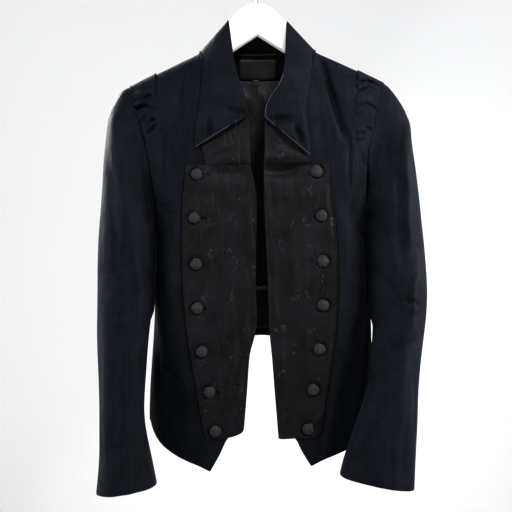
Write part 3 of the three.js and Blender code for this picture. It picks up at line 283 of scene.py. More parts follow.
@dataclass(frozen=True)
class Crepe:
    """Navy-black wool crepe: a dull pebbled face with short upright slubs."""

    name: str = "crepe"
    ground: Colour = (0.0022, 0.0032, 0.0055)
    raised: Colour = (0.0084, 0.0112, 0.0165)
    sheen: float = 0.035
    sheen_tint: Colour = (0.60, 0.74, 0.92)
    roughness: float = 0.72

    def material(self) -> bpy.types.Material:
        """Builds the crepe's material.

        Returns:
            The crepe.
        """
        graph = Graph(self.name)
        pebble = graph.noise(620.0)
        slub = graph.noise(1.0, vector=graph.stretched((900.0, 900.0, 240.0)))
        patch = graph.noise(26.0, detail=3.0)
        face = graph.sum(Maths.ADD, graph.sum(Maths.MULTIPLY, pebble, 0.55),
                         graph.sum(Maths.MULTIPLY, slub, 0.45))
        tone = graph.sum(Maths.ADD, graph.sum(Maths.MULTIPLY, face, 0.7),
                         graph.sum(Maths.MULTIPLY, patch, 0.3))
        colour = graph.blend(graph.level(tone, 0.38, 0.66), self.ground, self.raised)
        wrinkle = graph.noise(1.0, detail=3.0, roughness=0.55,
                              vector=graph.stretched((85.0, 85.0, 22.0)))
        normal = graph.bump(face, distance=0.00035, strength=0.55)
        normal = graph.bump(wrinkle, distance=0.0045, strength=0.42, normal=normal)
        return graph.finish(Base_Color=colour, Roughness=self.roughness, Normal=normal,
                            Specular_IOR_Level=0.12, Sheen_Weight=self.sheen,
                            Sheen_Roughness=0.42, Sheen_Tint=self.sheen_tint)


@dataclass(frozen=True)
class Brocade:
    """Charcoal-black brocade: a crinkled ground with small scattered flowers and leaves."""

    name: str = "brocade"
    ground: Colour = (0.0032, 0.0034, 0.0041)
    raised: Colour = (0.0092, 0.0096, 0.0112)
    flower: Colour = (0.0330, 0.0335, 0.0370)
    repeat_mm: float = 40.0
    stroke: float = 0.020
    whole_turn: float = 6.28
    crinkle: float = 0.6
    roughness: float = 0.62

    def motif(self, graph: Graph, repeat: float, offset: float, petals: float, inner: float,
              reach: float) -> bpy.types.NodeSocket:
        """One flower in each cell of an uneven grid, each turned its own way.

        Args:
            graph: The material's nodes.
            repeat: Size of a cell in metres.
            offset: Moves the grid, in cells.
            petals: How many petals a flower has.
            inner: The flower's radius between petals, in cells.
            reach: How much further a petal reaches, in cells.

        Returns:
            A socket that is 1 on the flowers and 0 beside them.
        """
        spread = graph.stretched((1.0 / repeat,) * 3)
        parts = graph.add("SeparateXYZ", Vector=spread)
        across = graph.sum(Maths.ADD, parts.outputs["X"], offset)
        up = graph.sum(Maths.ADD, parts.outputs["Z"], offset * 0.7)
        flat = graph.add("CombineXYZ", X=across, Y=up)
        cells = graph.add("TexVoronoi", Vector=flat.outputs[0], Scale=1.0, Randomness=0.62)
        cells.voronoi_dimensions = "2D"
        middle = graph.add("SeparateXYZ", Vector=cells.outputs["Position"])
        aside = graph.sum(Maths.SUBTRACT, across, middle.outputs["X"])
        above = graph.sum(Maths.SUBTRACT, up, middle.outputs["Y"])
        chance = graph.add("SeparateColor", Color=cells.outputs["Color"])
        turn = graph.sum(Maths.MULTIPLY, chance.outputs[0], self.whole_turn)
        angle = graph.sum(Maths.ADD, graph.sum(Maths.ARCTAN2, above, aside), turn)
        wave = graph.sum(Maths.COSINE, graph.sum(Maths.MULTIPLY, angle, petals / 2))
        petal = graph.sum(Maths.POWER, graph.sum(Maths.ABSOLUTE, wave), 0.7)
        edge = graph.sum(Maths.ADD, graph.sum(Maths.MULTIPLY, petal, reach), inner)
        away = graph.sum(Maths.SUBTRACT, edge, cells.outputs["Distance"])
        off = graph.sum(Maths.ABSOLUTE, away)
        return graph.sum(Maths.SUBTRACT, 1.0, graph.level(off, self.stroke, 2.2 * self.stroke))

    def scroll(self, graph: Graph, scale: float, width: float) -> bpy.types.NodeSocket:
        """Thin curling stems.

        Args:
            graph: The material's nodes.
            scale: Curls to the metre, roughly.
            width: A stem's width as a share of the curl.

        Returns:
            A socket that is 1 on the stems and 0 beside them.
        """
        curl = graph.noise(scale, detail=1.0)
        off = graph.sum(Maths.ABSOLUTE, graph.sum(Maths.SUBTRACT, curl, 0.5))
        return graph.sum(Maths.SUBTRACT, 1.0, graph.level(off, width, 3.0 * width))

    def material(self) -> bpy.types.Material:
        """Builds the brocade's material.

        Returns:
            The brocade.
        """
        graph = Graph(self.name)
        repeat = self.repeat_mm * MM
        blossom = self.motif(graph, repeat, offset=3.3, petals=5.0, inner=0.05, reach=0.14)
        leaf = self.motif(graph, repeat * 0.6, offset=7.9, petals=2.0, inner=0.02, reach=0.24)
        stem = self.scroll(graph, scale=46.0, width=0.007)
        minor = graph.sum(Maths.MAXIMUM, graph.sum(Maths.MULTIPLY, leaf, 0.35),
                          graph.sum(Maths.MULTIPLY, stem, 0.25))
        motif = graph.sum(Maths.MAXIMUM, blossom, minor)
        thread = graph.noise(1.0, vector=graph.stretched((700.0, 700.0, 1500.0)))
        broken = graph.level(graph.noise(230.0), 0.46, 0.60)
        away = graph.level(graph.noise(36.0, detail=1.0), 0.47, 0.60)
        shown = graph.sum(Maths.MULTIPLY, graph.sum(Maths.MULTIPLY, motif, broken), away)
        crinkle = graph.noise(1.0, detail=3.0, roughness=0.55,
                              vector=graph.stretched((190.0, 60.0, 64.0)))
        pinch = graph.noise(1.0, vector=graph.stretched((230.0, 60.0, 46.0)))
        pits = graph.sum(Maths.MULTIPLY, graph.level(pinch, 0.60, 0.70), -self.crinkle)
        patch = graph.noise(30.0)
        tone = graph.sum(Maths.ADD, graph.sum(Maths.MULTIPLY, thread, 0.5),
                         graph.sum(Maths.MULTIPLY, patch, 0.5))
        ground = graph.blend(graph.level(tone, 0.36, 0.66), self.ground, self.raised)
        colour = graph.blend(shown, ground, self.flower)
        height = graph.sum(Maths.ADD, thread, graph.sum(Maths.MULTIPLY, motif, 0.6))
        normal = graph.bump(height, distance=0.00040, strength=0.7)
        normal = graph.bump(graph.sum(Maths.ADD, crinkle, pits), distance=0.0020,
                            strength=self.crinkle, normal=normal)
        rough = graph.sum(Maths.SUBTRACT, self.roughness, graph.sum(Maths.MULTIPLY, motif, 0.16))
        return graph.finish(Base_Color=colour, Roughness=rough, Normal=normal,
                            Specular_IOR_Level=0.16, Sheen_Weight=0.02, Sheen_Roughness=0.4)


@dataclass(frozen=True)
class CoveredCloth:
    """Coarse charcoal cloth of two crossing sets of threads, for the buttons."""

    name: str = "covered_cloth"
    ground: Colour = (0.0020, 0.0020, 0.0026)
    raised: Colour = (0.0520, 0.0530, 0.0590)
    thread_mm: float = 2.6

    def material(self) -> bpy.types.Material:
        """Builds the covered button's material.

        Returns:
            The covered cloth.
        """
        graph = Graph(self.name)
        turned = graph.stretched((1.0 / (self.thread_mm * MM),) * 3, (0.0, math.radians(45), 0.0))
        parts = graph.add("SeparateXYZ", Vector=turned)
        waves = [graph.sum(Maths.SINE, graph.sum(Maths.MULTIPLY, parts.outputs[axis], math.tau))
                 for axis in ("X", "Z")]
        weave = graph.sum(Maths.MULTIPLY, waves[0], waves[1])
        height = graph.sum(Maths.ADD, graph.sum(Maths.MULTIPLY, weave, 0.5), 0.5)
        fuzz = graph.noise(900.0)
        tone = graph.sum(Maths.ADD, graph.sum(Maths.MULTIPLY, height, 0.7),
                         graph.sum(Maths.MULTIPLY, fuzz, 0.3))
        colour = graph.blend(graph.level(tone, 0.34, 0.68), self.ground, self.raised)
        normal = graph.bump(tone, distance=0.00070, strength=0.9)
        return graph.finish(Base_Color=colour, Roughness=0.65, Normal=normal,
                            Specular_IOR_Level=0.15)


@dataclass(frozen=True)
class Satin:
    """Grey lining satin with fine upright threads."""

    name: str = "lining_satin"
    ground: Colour = (0.020, 0.020, 0.022)
    raised: Colour = (0.046, 0.046, 0.050)

    def material(self) -> bpy.types.Material:
        """Builds the lining's material.

        Returns:
            The satin.
        """
        graph = Graph(self.name)
        thread = graph.noise(1.0, vector=graph.stretched((2200.0, 2200.0, 260.0)))
        patch = graph.noise(34.0, detail=3.0)
        colour = graph.blend(graph.level(patch, 0.35, 0.65), self.ground, self.raised)
        normal = graph.bump(thread, distance=0.00015, strength=0.35)
        normal = graph.bump(patch, distance=0.004, strength=0.5, normal=normal)
        return graph.finish(Base_Color=colour, Roughness=0.40, Normal=normal,
                            Specular_IOR_Level=0.35)


@dataclass(frozen=True)
class Tape:
    """Ribbed woven tape."""

    name: str
    ground: Colour
    raised: Colour
    rib_mm: float = 0.7
    roughness: float = 0.5

    def material(self) -> bpy.types.Material:
        """Builds the tape's material.

        Returns:
            The tape.
        """
        graph = Graph(self.name)
        parts = graph.add("SeparateXYZ", Vector=graph.place())
        turns = graph.sum(Maths.MULTIPLY, parts.outputs["Z"], math.tau / (self.rib_mm * MM))
        wave = graph.sum(Maths.SINE, turns)
        rib = graph.sum(Maths.ADD, graph.sum(Maths.MULTIPLY, wave, 0.5), 0.5)
        fuzz = graph.noise(1.0, vector=graph.stretched((1800.0, 1800.0, 500.0)))
        tone = graph.sum(Maths.ADD, graph.sum(Maths.MULTIPLY, rib, 0.4),
                         graph.sum(Maths.MULTIPLY, fuzz, 0.6))
        colour = graph.blend(graph.level(tone, 0.3, 0.75), self.ground, self.raised)
        return graph.finish(Base_Color=colour, Roughness=self.roughness,
                            Normal=graph.bump(tone, distance=0.0002, strength=0.5),
                            Specular_IOR_Level=0.4)


@dataclass(frozen=True)
class Thread:
    """Twisted sewing thread."""

    name: str = "sewing_thread"
    colour: Colour = (0.0014, 0.0014, 0.0018)
    twist_mm: float = 0.5

    def material(self) -> bpy.types.Material:
        """Builds the thread's material.

        Returns:
            The thread.
        """
        graph = Graph(self.name)
        turned = graph.stretched((1.0,) * 3, (0.0, math.radians(35), 0.0))
        parts = graph.add("SeparateXYZ", Vector=turned)
        turns = graph.sum(Maths.MULTIPLY, parts.outputs["X"], math.tau / (self.twist_mm * MM))
        ply = graph.sum(Maths.SINE, turns)
        fuzz = graph.noise(1500.0, detail=1.0)
        tone = graph.sum(Maths.MULTIPLY, graph.sum(Maths.ADD, ply, 1.6), fuzz)
        light = tuple(3.0 * part for part in self.colour)
        colour = graph.blend(graph.level(tone, 0.3, 1.4), self.colour, light)
        return graph.finish(Base_Color=colour, Roughness=0.7, Specular_IOR_Level=0.06,
                            Normal=graph.bump(tone, distance=0.0001, strength=0.5))


@dataclass(frozen=True)
class MouldedPlastic:
    """Smooth white plastic with faint handling marks."""

    name: str = "hanger_plastic"
    colour: Colour = (0.86, 0.86, 0.85)
    worn: Colour = (0.80, 0.80, 0.78)

    def material(self) -> bpy.types.Material:
        """Builds the hanger's material.

        Returns:
            The plastic.
        """
        graph = Graph(self.name)
        marks = graph.noise(40.0, detail=4.0, roughness=0.6)
        colour = graph.blend(graph.level(marks, 0.5, 0.75), self.colour, self.worn)
        rough = graph.sum(Maths.ADD, 0.28, graph.sum(Maths.MULTIPLY, marks, 0.16))
        grain = graph.noise(900.0)
        return graph.finish(Base_Color=colour, Roughness=rough,
                            Normal=graph.bump(grain, distance=0.0001, strength=0.15))


@dataclass(frozen=True)
class PlatedWire:
    """Bright plated wire with fine drawn lines."""

    name: str = "plated_wire"
    colour: Colour = (0.62, 0.63, 0.65)
    dull: Colour = (0.42, 0.43, 0.45)

    def material(self) -> bpy.types.Material:
        """Builds the hook's material.

        Returns:
            The plated wire.
        """
        graph = Graph(self.name)
        lines = graph.noise(1.0, detail=3.0, vector=graph.stretched((2600.0, 2600.0, 240.0)))
        marks = graph.noise(160.0, detail=3.0)
        colour = graph.blend(graph.level(marks, 0.45, 0.75), self.colour, self.dull)
        rough = graph.sum(Maths.ADD, 0.16, graph.sum(Maths.MULTIPLY, lines, 0.18))
        return graph.finish(Base_Color=colour, Metallic=1.0, Roughness=rough,
                            Normal=graph.bump(lines, distance=0.00004, strength=0.4))


@dataclass(frozen=True)
class PlainPaint:
    """Matt paint of the floor and the backdrop."""

    name: str = "studio_paint"
    colour: Colour = (0.85, 0.85, 0.85)

    def material(self) -> bpy.types.Material:
        """Builds the studio's material.

        Returns:
            The paint.
        """
        graph = Graph(self.name)
        tone = graph.noise(0.6)
        dim = tuple(0.97 * part for part in self.colour)
        return graph.finish(Base_Color=graph.blend(tone, self.colour, dim), Roughness=0.9)


class Finishes:
    """Every finish, built once."""

    def __init__(self) -> None:
        """Builds the materials."""
        self.crepe = Crepe().material()
        # A much lighter copy of the crepe: a painted highlight along the collar's turned lower
        # edges.
        self.edge = Crepe("crepe_edge", (0.020, 0.022, 0.028), (0.046, 0.050, 0.060)).material()
        self.brocade = {
            Side.RIGHT: Brocade("brocade_right", crinkle=0.75).material(),
            Side.LEFT: Brocade("brocade_left", crinkle=0.40).material(),
        }
        self.covered = CoveredCloth().material()
        self.satin = Satin().material()
        # A lighter copy of the lining satin: a painted highlight along the lining's pleat.
        self.pleat = Satin("pleat_satin", (0.08, 0.08, 0.085), (0.17, 0.17, 0.18)).material()
        self.label = Tape("label_tape", (0.005, 0.005, 0.006), (0.019, 0.019, 0.021)).material()
        self.tab = Tape("size_tab_tape", (0.014, 0.014, 0.015), (0.044, 0.044, 0.046)).material()
        self.loop = Tape("loop_tape", (0.020, 0.020, 0.023), (0.050, 0.050, 0.054), 1.1).material()
        self.thread = Thread().material()
        self.plastic = MouldedPlastic().material()
        self.wire = PlatedWire().material()
        self.paint = PlainPaint().material()


@dataclass(frozen=True)
class Crease:
    """A soft trough in the cloth from one point to another; a ridge where depth is below 0."""

    x1: float
    z1: float
    x2: float
    z2: float
    width: float
    depth: float
    pinch: float = 0.35
    wander: float = 1.2
    wander_wave: ClassVar[float] = 13.0
    end_share: ClassVar[float] = 0.3
    lip_reach: ClassVar[float] = 2.1

    def depth_at(self, x: np.ndarray, z: np.ndarray) -> np.ndarray:
        """The crease's depth at points of the cloth.

        Args:
            x: Distances across, in millimetres.
            z: Heights, in millimetres.

        Returns:
            The depth at each point, in millimetres.
        """
        dx, dz = self.x2 - self.x1, self.z2 - self.z1
        length = math.hypot(dx, dz)
        along = ((x - self.x1) * dx + (z - self.z1) * dz) / length**2
        held = np.clip(along, 0.0, 1.0)
        drift = self.wander * np.sin(held * length / self.wander_wave + self.x1)
        from_line = ((x - self.x1) * dz - (z - self.z1) * dx) / length - drift
        beyond = (along - held) * length
        away = np.hypot(from_line, beyond) / self.width
        fade = self.end_share + 0.7 * np.sin(math.pi * held) ** 0.7
        trough = (1.0 + self.pinch) * np.exp(-(away**2))
        profile = trough - self.pinch * np.exp(-((away / self.lip_reach) ** 2))
        return self.depth * fade * profile


@dataclass(frozen=True)
class Creases:
    """The creases that a stretch of cloth carries, and its slight unevenness."""

    rows: tuple[Crease, ...] = ()
    ripple: float = 0.35
    seed: float = 0.0
    gain: float = 1.0
    # Each wave's length across and upwards, its share of the seed and its strength
    waves: ClassVar[tuple[tuple[float, ...], ...]] = (
        (19.0, 41.0, 1.0, 1.0), (31.0, -23.0, 2.1, 1.0), (9.0, 57.0, 0.7, 0.6))

    def depth_at(self, x: np.ndarray, z: np.ndarray) -> np.ndarray:
        """The depth of all the creases together.

        Args:
            x: Distances across, in millimetres.
            z: Heights, in millimetres.

        Returns:
            The depth at each point, in millimetres.
        """
        uneven = sum(strength * np.sin(x / across + z / up + share * self.seed)
                     for across, up, share, strength in self.waves)
        depth = 0.5 * self.ripple * uneven
        for row in self.rows:
            depth = depth + self.gain * row.depth_at(x, z)
        return depth


def face_share(points: np.ndarray, face: Face) -> np.ndarray:
    """How far points lie towards a face of the body: 0 at the side seams, 1 well round.

    Args:
        points: The points, in metres.
        face: The face.

    Returns:
        Each point's share.
    """
    return np.clip((face.value * points[:, 1] / MM + SEAM_LEAD) / SEAM_RUN, 0.0, 1.0)


def body_shift(creases: Creases, face: Face, floor: float | None = None) -> Shift:
    """A shift that presses creases into the front or the back of the body.

    Args:
        creases: What is pressed in.
        face: The face that the cloth lies on.
        floor: The lowest depth that shows, so that an upper layer only rises.

    Returns:
        A function from points to their shifts, in metres.
    """
    def shift(points: np.ndarray) -> np.ndarray:
        """Presses the creases in.

        Args:
            points: The points, in metres.

        Returns:
            Each point's shift, in metres.
        """
        depth = creases.depth_at(points[:, 0] / MM, points[:, 2] / MM)
        if floor is not None:
            depth = np.minimum(depth, floor)
        moved = np.zeros_like(points)
        moved[:, 1] = -face.value * depth * face_share(points, face) * MM
        return moved
    return shift


def add_shifts(*shifts: Shift) -> Shift:
    """Joins shifts into one."""
    return lambda points: sum(shift(points) for shift in shifts)


def front_shift(side: Side) -> Shift:
    """The shift that all the layers of a front share.

    Args:
        side: The wearer's side.

    Returns:
        A function from points to their shifts, in metres.
    """
    return add_shifts(body_shift(BODY_CREASES[Face.FRONT], Face.FRONT),
                      body_shift(JOIN_CREASES[side], Face.FRONT))


BODY_CREASES = {
    Face.FRONT: Creases((
        Crease(-112, -180, -119, -246, 6.0, 3.6, 0.5),
        Crease(-99, -166, -104, -214, 7.0, 1.4),
        Crease(-121, -246, -126, -300, 8.0, 1.2),
        Crease(-141, -262, -138, -360, 3.4, 1.5, 0.5),
        Crease(-147, -330, -133, -430, 7.0, 1.6),
        Crease(-154, -372, -126, -396, 6.0, 1.6),
        Crease(-128, -420, -134, -540, 8.0, -1.2),
        Crease(-142, -520, -126, -610, 9.0, 1.5),
        Crease(-163, -600, -118, -726, 24.0, 7.5, 0.1),
        Crease(-151, -608, -118, -632, 4.0, -1.0),
        Crease(-126, -640, -110, -700, 8.0, -1.4),
        Crease(-104, -690, -96, -742, 7.0, 1.6),
        Crease(-98, -744, -124, -748, 6.0, -1.0),
        Crease(96, -146, 106, -196, 6.0, 3.8, 0.5),
        Crease(104, -190, 122, -250, 5.2, 5.4, 0.7),
        Crease(119, -240, 130, -280, 4.6, 4.0, 0.6),
        Crease(129, -176, 134, -228, 7.0, -1.3),
        Crease(134, -260, 136, -350, 3.4, 1.5, 0.5),
        Crease(150, -344, 129, -404, 6.5, 1.6),
        Crease(130, -404, 136, -520, 8.0, -1.2),
        Crease(141, -470, 128, -570, 9.0, 1.4),
        Crease(160, -560, 128, -706, 20.0, 6.0, 0.1),
        Crease(144, -618, 128, -640, 4.0, -1.2),
        Crease(138, -640, 130, -662, 3.0, 1.2),
        Crease(112, -650, 104, -716, 8.0, -1.3),
        Crease(92, -706, 84, -748, 7.0, 1.4),
    ), 0.6, 1.0, 1.4),
    Face.BACK: Creases((
        Crease(-52, -190, -66, -300, 12, 2.6),
        Crease(58, -186, 74, -286, 11, 2.3),
        Crease(-96, -260, -120, -380, 9, 2.8),
        Crease(100, -268, 126, -396, 9, 2.5),
        Crease(-8, -240, 6, -420, 14, -1.6),
        Crease(-40, -420, -22, -520, 11, 2.2),
        Crease(46, -440, 30, -548, 11, 2.3),
        Crease(-120, -470, -84, -500, 8, 2.2),
        Crease(122, -480, 90, -512, 8, 2.0),
        Crease(-136, -540, -120, -640, 10, 2.0),
        Crease(138, -530, 124, -636, 10, 2.1),
        Crease(-70, -180, 70, -186, 12, 1.0),
        Crease(-84, -560, -70, -660, 12, -1.8),
        Crease(88, -552, 76, -650, 12, -1.6),
    ), 0.7, 2.4),
}

SLEEVE_CREASES = {
    Side.RIGHT: {
        Face.FRONT: Creases((
            Crease(-220, -226, -208, -300, 8, -3.0),
            Crease(-210, -290, -196, -400, 8, -3.2),
            Crease(-224, -300, -212, -470, 7, 3.0),
            Crease(-234, -250, -226, -330, 7, 1.8),
            Crease(-167, -322, -163, -396, 7, 5.0, 0.5),
            Crease(-176, -300, -168, -372, 6, 2.0),
            Crease(-184, -350, -176, -452, 8, 2.4),
            Crease(-176, -440, -164, -560, 9, 3.6),
            Crease(-196, -420, -190, -560, 8, 2.2),
            Crease(-231, -392, -206, -428, 5, 2.0),
            Crease(-236, -470, -204, -494, 6, 2.4),
            Crease(-240, -520, -214, -536, 5, 1.8),
            Crease(-180, -500, -204, -540, 6, 2.0),
            Crease(-176, -560, -194, -596, 5, 1.8),
            Crease(-226, -560, -222, -720, 10, -2.6),
            Crease(-206, -560, -206, -790, 7, 2.6),
            Crease(-184, -640, -182, -796, 8, 2.2),
            Crease(-190, -590, -186, -660, 6, -1.6),
            Crease(-236, -700, -240, -798, 8, 1.6),
            Crease(-216, -742, -214, -802, 7, -1.8),
            Crease(-196, -700, -194, -802, 5, -1.6),
        ), 0.7, 3.1, 1.1),
        Face.BACK: Creases((
            Crease(-210, -240, -200, -380, 12, 2.4),
            Crease(-226, -430, -190, -470, 8, 2.8),
            Crease(-232, -480, -196, -500, 8, 2.8),
            Crease(-220, -540, -200, -640, 10, 2.3),
            Crease(-200, -680, -206, -790, 9, 2.2),
        ), 0.7, 4.2),
    },
    Side.LEFT: {
        Face.FRONT: Creases((
            Crease(224, -250, 218, -330, 7, -3.2),
            Crease(220, -300, 222, -440, 6, -3.4),
            Crease(232, -480, 221, -560, 5, -2.8),
            Crease(236, -260, 234, -370, 6, 1.8),
            Crease(158, -300, 162, -372, 6, 5.0, 0.5),
            Crease(174, -280, 170, -352, 5, 1.8),
            Crease(190, -270, 196, -420, 9, 1.6),
            Crease(206, -300, 208, -460, 7, 2.2),
            Crease(182, -380, 178, -490, 8, 2.4),
            Crease(232, -458, 206, -478, 5, 2.2),
            Crease(214, -520, 236, -528, 4, 3.2, 0.6),
            Crease(240, -540, 206, -552, 5, 2.2),
            Crease(232, -580, 200, -590, 6, 1.8),
            Crease(176, -470, 204, -520, 6, 1.8),
            Crease(174, -560, 200, -600, 6, 1.8),
            Crease(214, -560, 198, -700, 9, -2.2),
            Crease(188, -600, 160, -720, 8, 2.4),
            Crease(226, -600, 226, -740, 7, 2.2),
            Crease(162, -700, 138, -760, 7, 1.8),
            Crease(206, -700, 202, -796, 8, 1.8),
            Crease(180, -720, 166, -790, 7, -2.0),
        ), 0.7, 5.3, 1.1),
        Face.BACK: Creases((
            Crease(206, -240, 200, -380, 12, 2.4),
            Crease(236, -440, 196, -476, 8, 2.8),
            Crease(240, -500, 200, -520, 8, 2.9),
            Crease(214, -560, 190, -660, 10, 2.4),
            Crease(180, -690, 170, -780, 9, 2.2),
        ), 0.7, 6.4),
    },
}

GATHER_CREASES = {
    Side.RIGHT: Creases((
        Crease(-196, -214, -172, -214, 2.8, 2.2, 0.7, 0.5),
        Crease(-176, -213, -158, -205, 2.8, 2.6, 0.7, 0.5),
        Crease(-190, -205, -160, -202, 4.0, -1.6, 0.4, 0.6),
        Crease(-192, -222, -166, -219, 3.2, -1.9, 0.5, 0.6),
        Crease(-188, -230, -172, -222, 3.0, 3.4, 0.8, 0.6),
        Crease(-174, -222, -152, -229, 3.0, 3.0, 0.8, 0.6),
        Crease(-184, -236, -156, -237, 3.6, -1.9, 0.5, 0.6),
        Crease(-178, -250, -168, -242, 2.8, 2.4, 0.7, 0.4),
        Crease(-168, -252, -158, -246, 2.8, 2.4, 0.7, 0.4),
        Crease(-161, -246, -149, -248, 2.8, 2.6, 0.7, 0.4),
        Crease(-165, -266, -152, -254, 3.0, 3.2, 0.8, 0.4),
        Crease(-176, -262, -160, -260, 4.0, -1.4, 0.4, 0.6),
        Crease(-172, -280, -152, -274, 4.0, 1.2, 0.4),
        Crease(-164, -310, -150, -330, 5.0, 1.2),
    ), 0.3, 0.4, 1.5),
    Side.LEFT: Creases((
        Crease(150, -190, 176, -187, 2.8, 3.4, 0.8, 0.5),
        Crease(168, -187, 186, -196, 2.8, 2.6, 0.8, 0.5),
        Crease(150, -183, 182, -181, 3.6, -1.8, 0.4, 0.5),
        Crease(148, -206, 160, -200, 2.8, 3.2, 0.8, 0.4),
        Crease(158, -202, 168, -194, 2.8, 2.0, 0.7, 0.4),
        Crease(152, -214, 172, -208, 3.4, -1.6, 0.4, 0.5),
        Crease(144, -228, 160, -224, 2.8, 2.8, 0.8, 0.4),
        Crease(160, -224, 178, -234, 2.8, 2.0, 0.7, 0.4),
        Crease(146, -238, 166, -236, 3.4, -1.5, 0.4, 0.5),
        Crease(160, -262, 170, -266, 2.6, 2.6, 0.8, 0.4),
        Crease(142, -272, 158, -270, 2.8, 2.2, 0.7, 0.4),
        Crease(142, -284, 156, -280, 2.8, 1.8, 0.7, 0.4),
        Crease(150, -300, 160, -320, 5.0, 1.1),
    ), 0.3, 1.4, 1.5),
}

COLLAR_CREASES = Creases((
    Crease(-72, -248, -74, -276, 4.2, 6.4, 0.3),
    Crease(-48, -234, -18, -247, 7.5, 6.4, 0.3),
    Crease(-62, -150, -52, -214, 12.0, 2.0),
    Crease(-86, -272, -76, -216, 7.0, -1.6),
    Crease(-52, -262, -30, -250, 6.0, -1.2),
    Crease(54, -260, 64, -286, 4.2, 6.2, 0.3),
    Crease(16, -254, 50, -250, 6.5, 6.6, 0.3),
    Crease(60, -152, 52, -214, 12.0, 1.8),
    Crease(70, -290, 67, -236, 5.0, -1.6),
    Crease(40, -266, 56, -280, 5.0, -1.4),
    Crease(54, -112, 70, -124, 6.0, 3.4),
    Crease(40, -176, 44, -206, 9.0, 1.6),
), 0.45, 0.9)

PLASTRON_CREASES = {
    Side.RIGHT: Creases((
        Crease(-92, -336, -90, -420, 3.0, -1.0, 0.3),
        Crease(-74, -336, -72, -420, 2.8, -1.2, 0.3),
        Crease(-60, -380, -58, -470, 3.2, -1.0, 0.3),
        Crease(-52, -540, -54, -610, 2.6, -1.4, 0.3),
        Crease(-20, -540, -18, -600, 2.6, -1.3, 0.3),
        Crease(-36, -560, -37, -640, 2.6, -1.4, 0.3),
        Crease(-64, -590, -60, -690, 2.8, -1.3, 0.3),
        Crease(-44, -620, -46, -700, 2.8, -1.3, 0.3),
        Crease(-28, -610, -32, -690, 2.8, -1.2, 0.3),
        Crease(-78, -480, -76, -560, 3.0, -1.0, 0.3),
        Crease(-14, -360, -13, -450, 3.0, -1.2, 0.3),
        Crease(-14, -470, -24, -560, 6.0, -1.0),
    ), 0.3, 1.9, 1.9),
    Side.LEFT: Creases((
        Crease(100, -350, 104, -430, 4.0, -1.2, 0.3),
        Crease(48, -400, 52, -520, 8.0, -0.9),
        Crease(70, -560, 62, -680, 6.0, -1.1),
        Crease(30, -560, 36, -700, 5.0, -1.1),
        Crease(90, -690, 72, -716, 5.0, -1.6),
        Crease(20, -430, 22, -560, 4.0, -0.8),
        Crease(84, -440, 80, -540, 4.0, -0.9, 0.3),
    ), 0.3, 2.9, 1.5),
}

JOIN_CREASES = {
    Side.RIGHT: Creases((
        Crease(-72, -302, -48, -290, 4.0, -2.2, 0.7),
        Crease(-26, -280, -24, -322, 3.6, 1.8, 0.4),
        Crease(-66, -307, -20, -309, 6.0, -2.0, 0.1),
        Crease(-66, -328, -20, -330, 9.0, 5.6, 0.2),
        Crease(-46, -334, -40, -362, 5.0, 1.6),
        Crease(-20, -330, -16, -372, 5.0, 1.8),
        Crease(-66, -318, -60, -344, 5.0, 1.2),
        Crease(-86, -318, -80, -352, 4.0, -1.4),
    ), 0.0),
    Side.LEFT: Creases((
        Crease(8, -306, 64, -305, 6.5, -3.2, 0.1),
        Crease(4, -329, 58, -326, 10.0, 9.5, 0.2),
        Crease(40, -322, 76, -320, 4.5, 4.4, 0.5),
        Crease(24, -292, 46, -300, 4.0, -1.4, 0.5),
        Crease(16, -340, 20, -390, 5.0, 1.4),
        Crease(50, -338, 56, -372, 5.0, 1.2),
    ), 0.0),
}


def merged_solid(node: str) -> bmesh.types.BMesh:
    """A copy of a node's solid with its points merged.

    Args:
        node: The node.

    Returns:
        A new bmesh.
    """
    bm = bmesh.new()
    bm.from_mesh(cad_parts[node].data)
    bmesh.ops.remove_doubles(bm, verts=bm.verts, dist=MERGE_DISTANCE)
    return bm


def declare(piece: bpy.types.Object, node: str | None = None) -> None:
    """Has a piece ride on the part's body, and hides the node that it stands for.

    Args:
        piece: The piece.
        node: The node that the piece stands for.
    """
    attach(piece, BODY)
    if node:
        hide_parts(node)


def refine(piece: bpy.types.Object, levels: int) -> None:
    """Subdivides a piece's mesh.

    Args:
        piece: The piece.
        levels: How many times its faces are split.
    """
    finer = piece.modifiers.new("refine", "SUBSURF")
    finer.levels = finer.render_levels = levels
    apply_modifiers(piece)


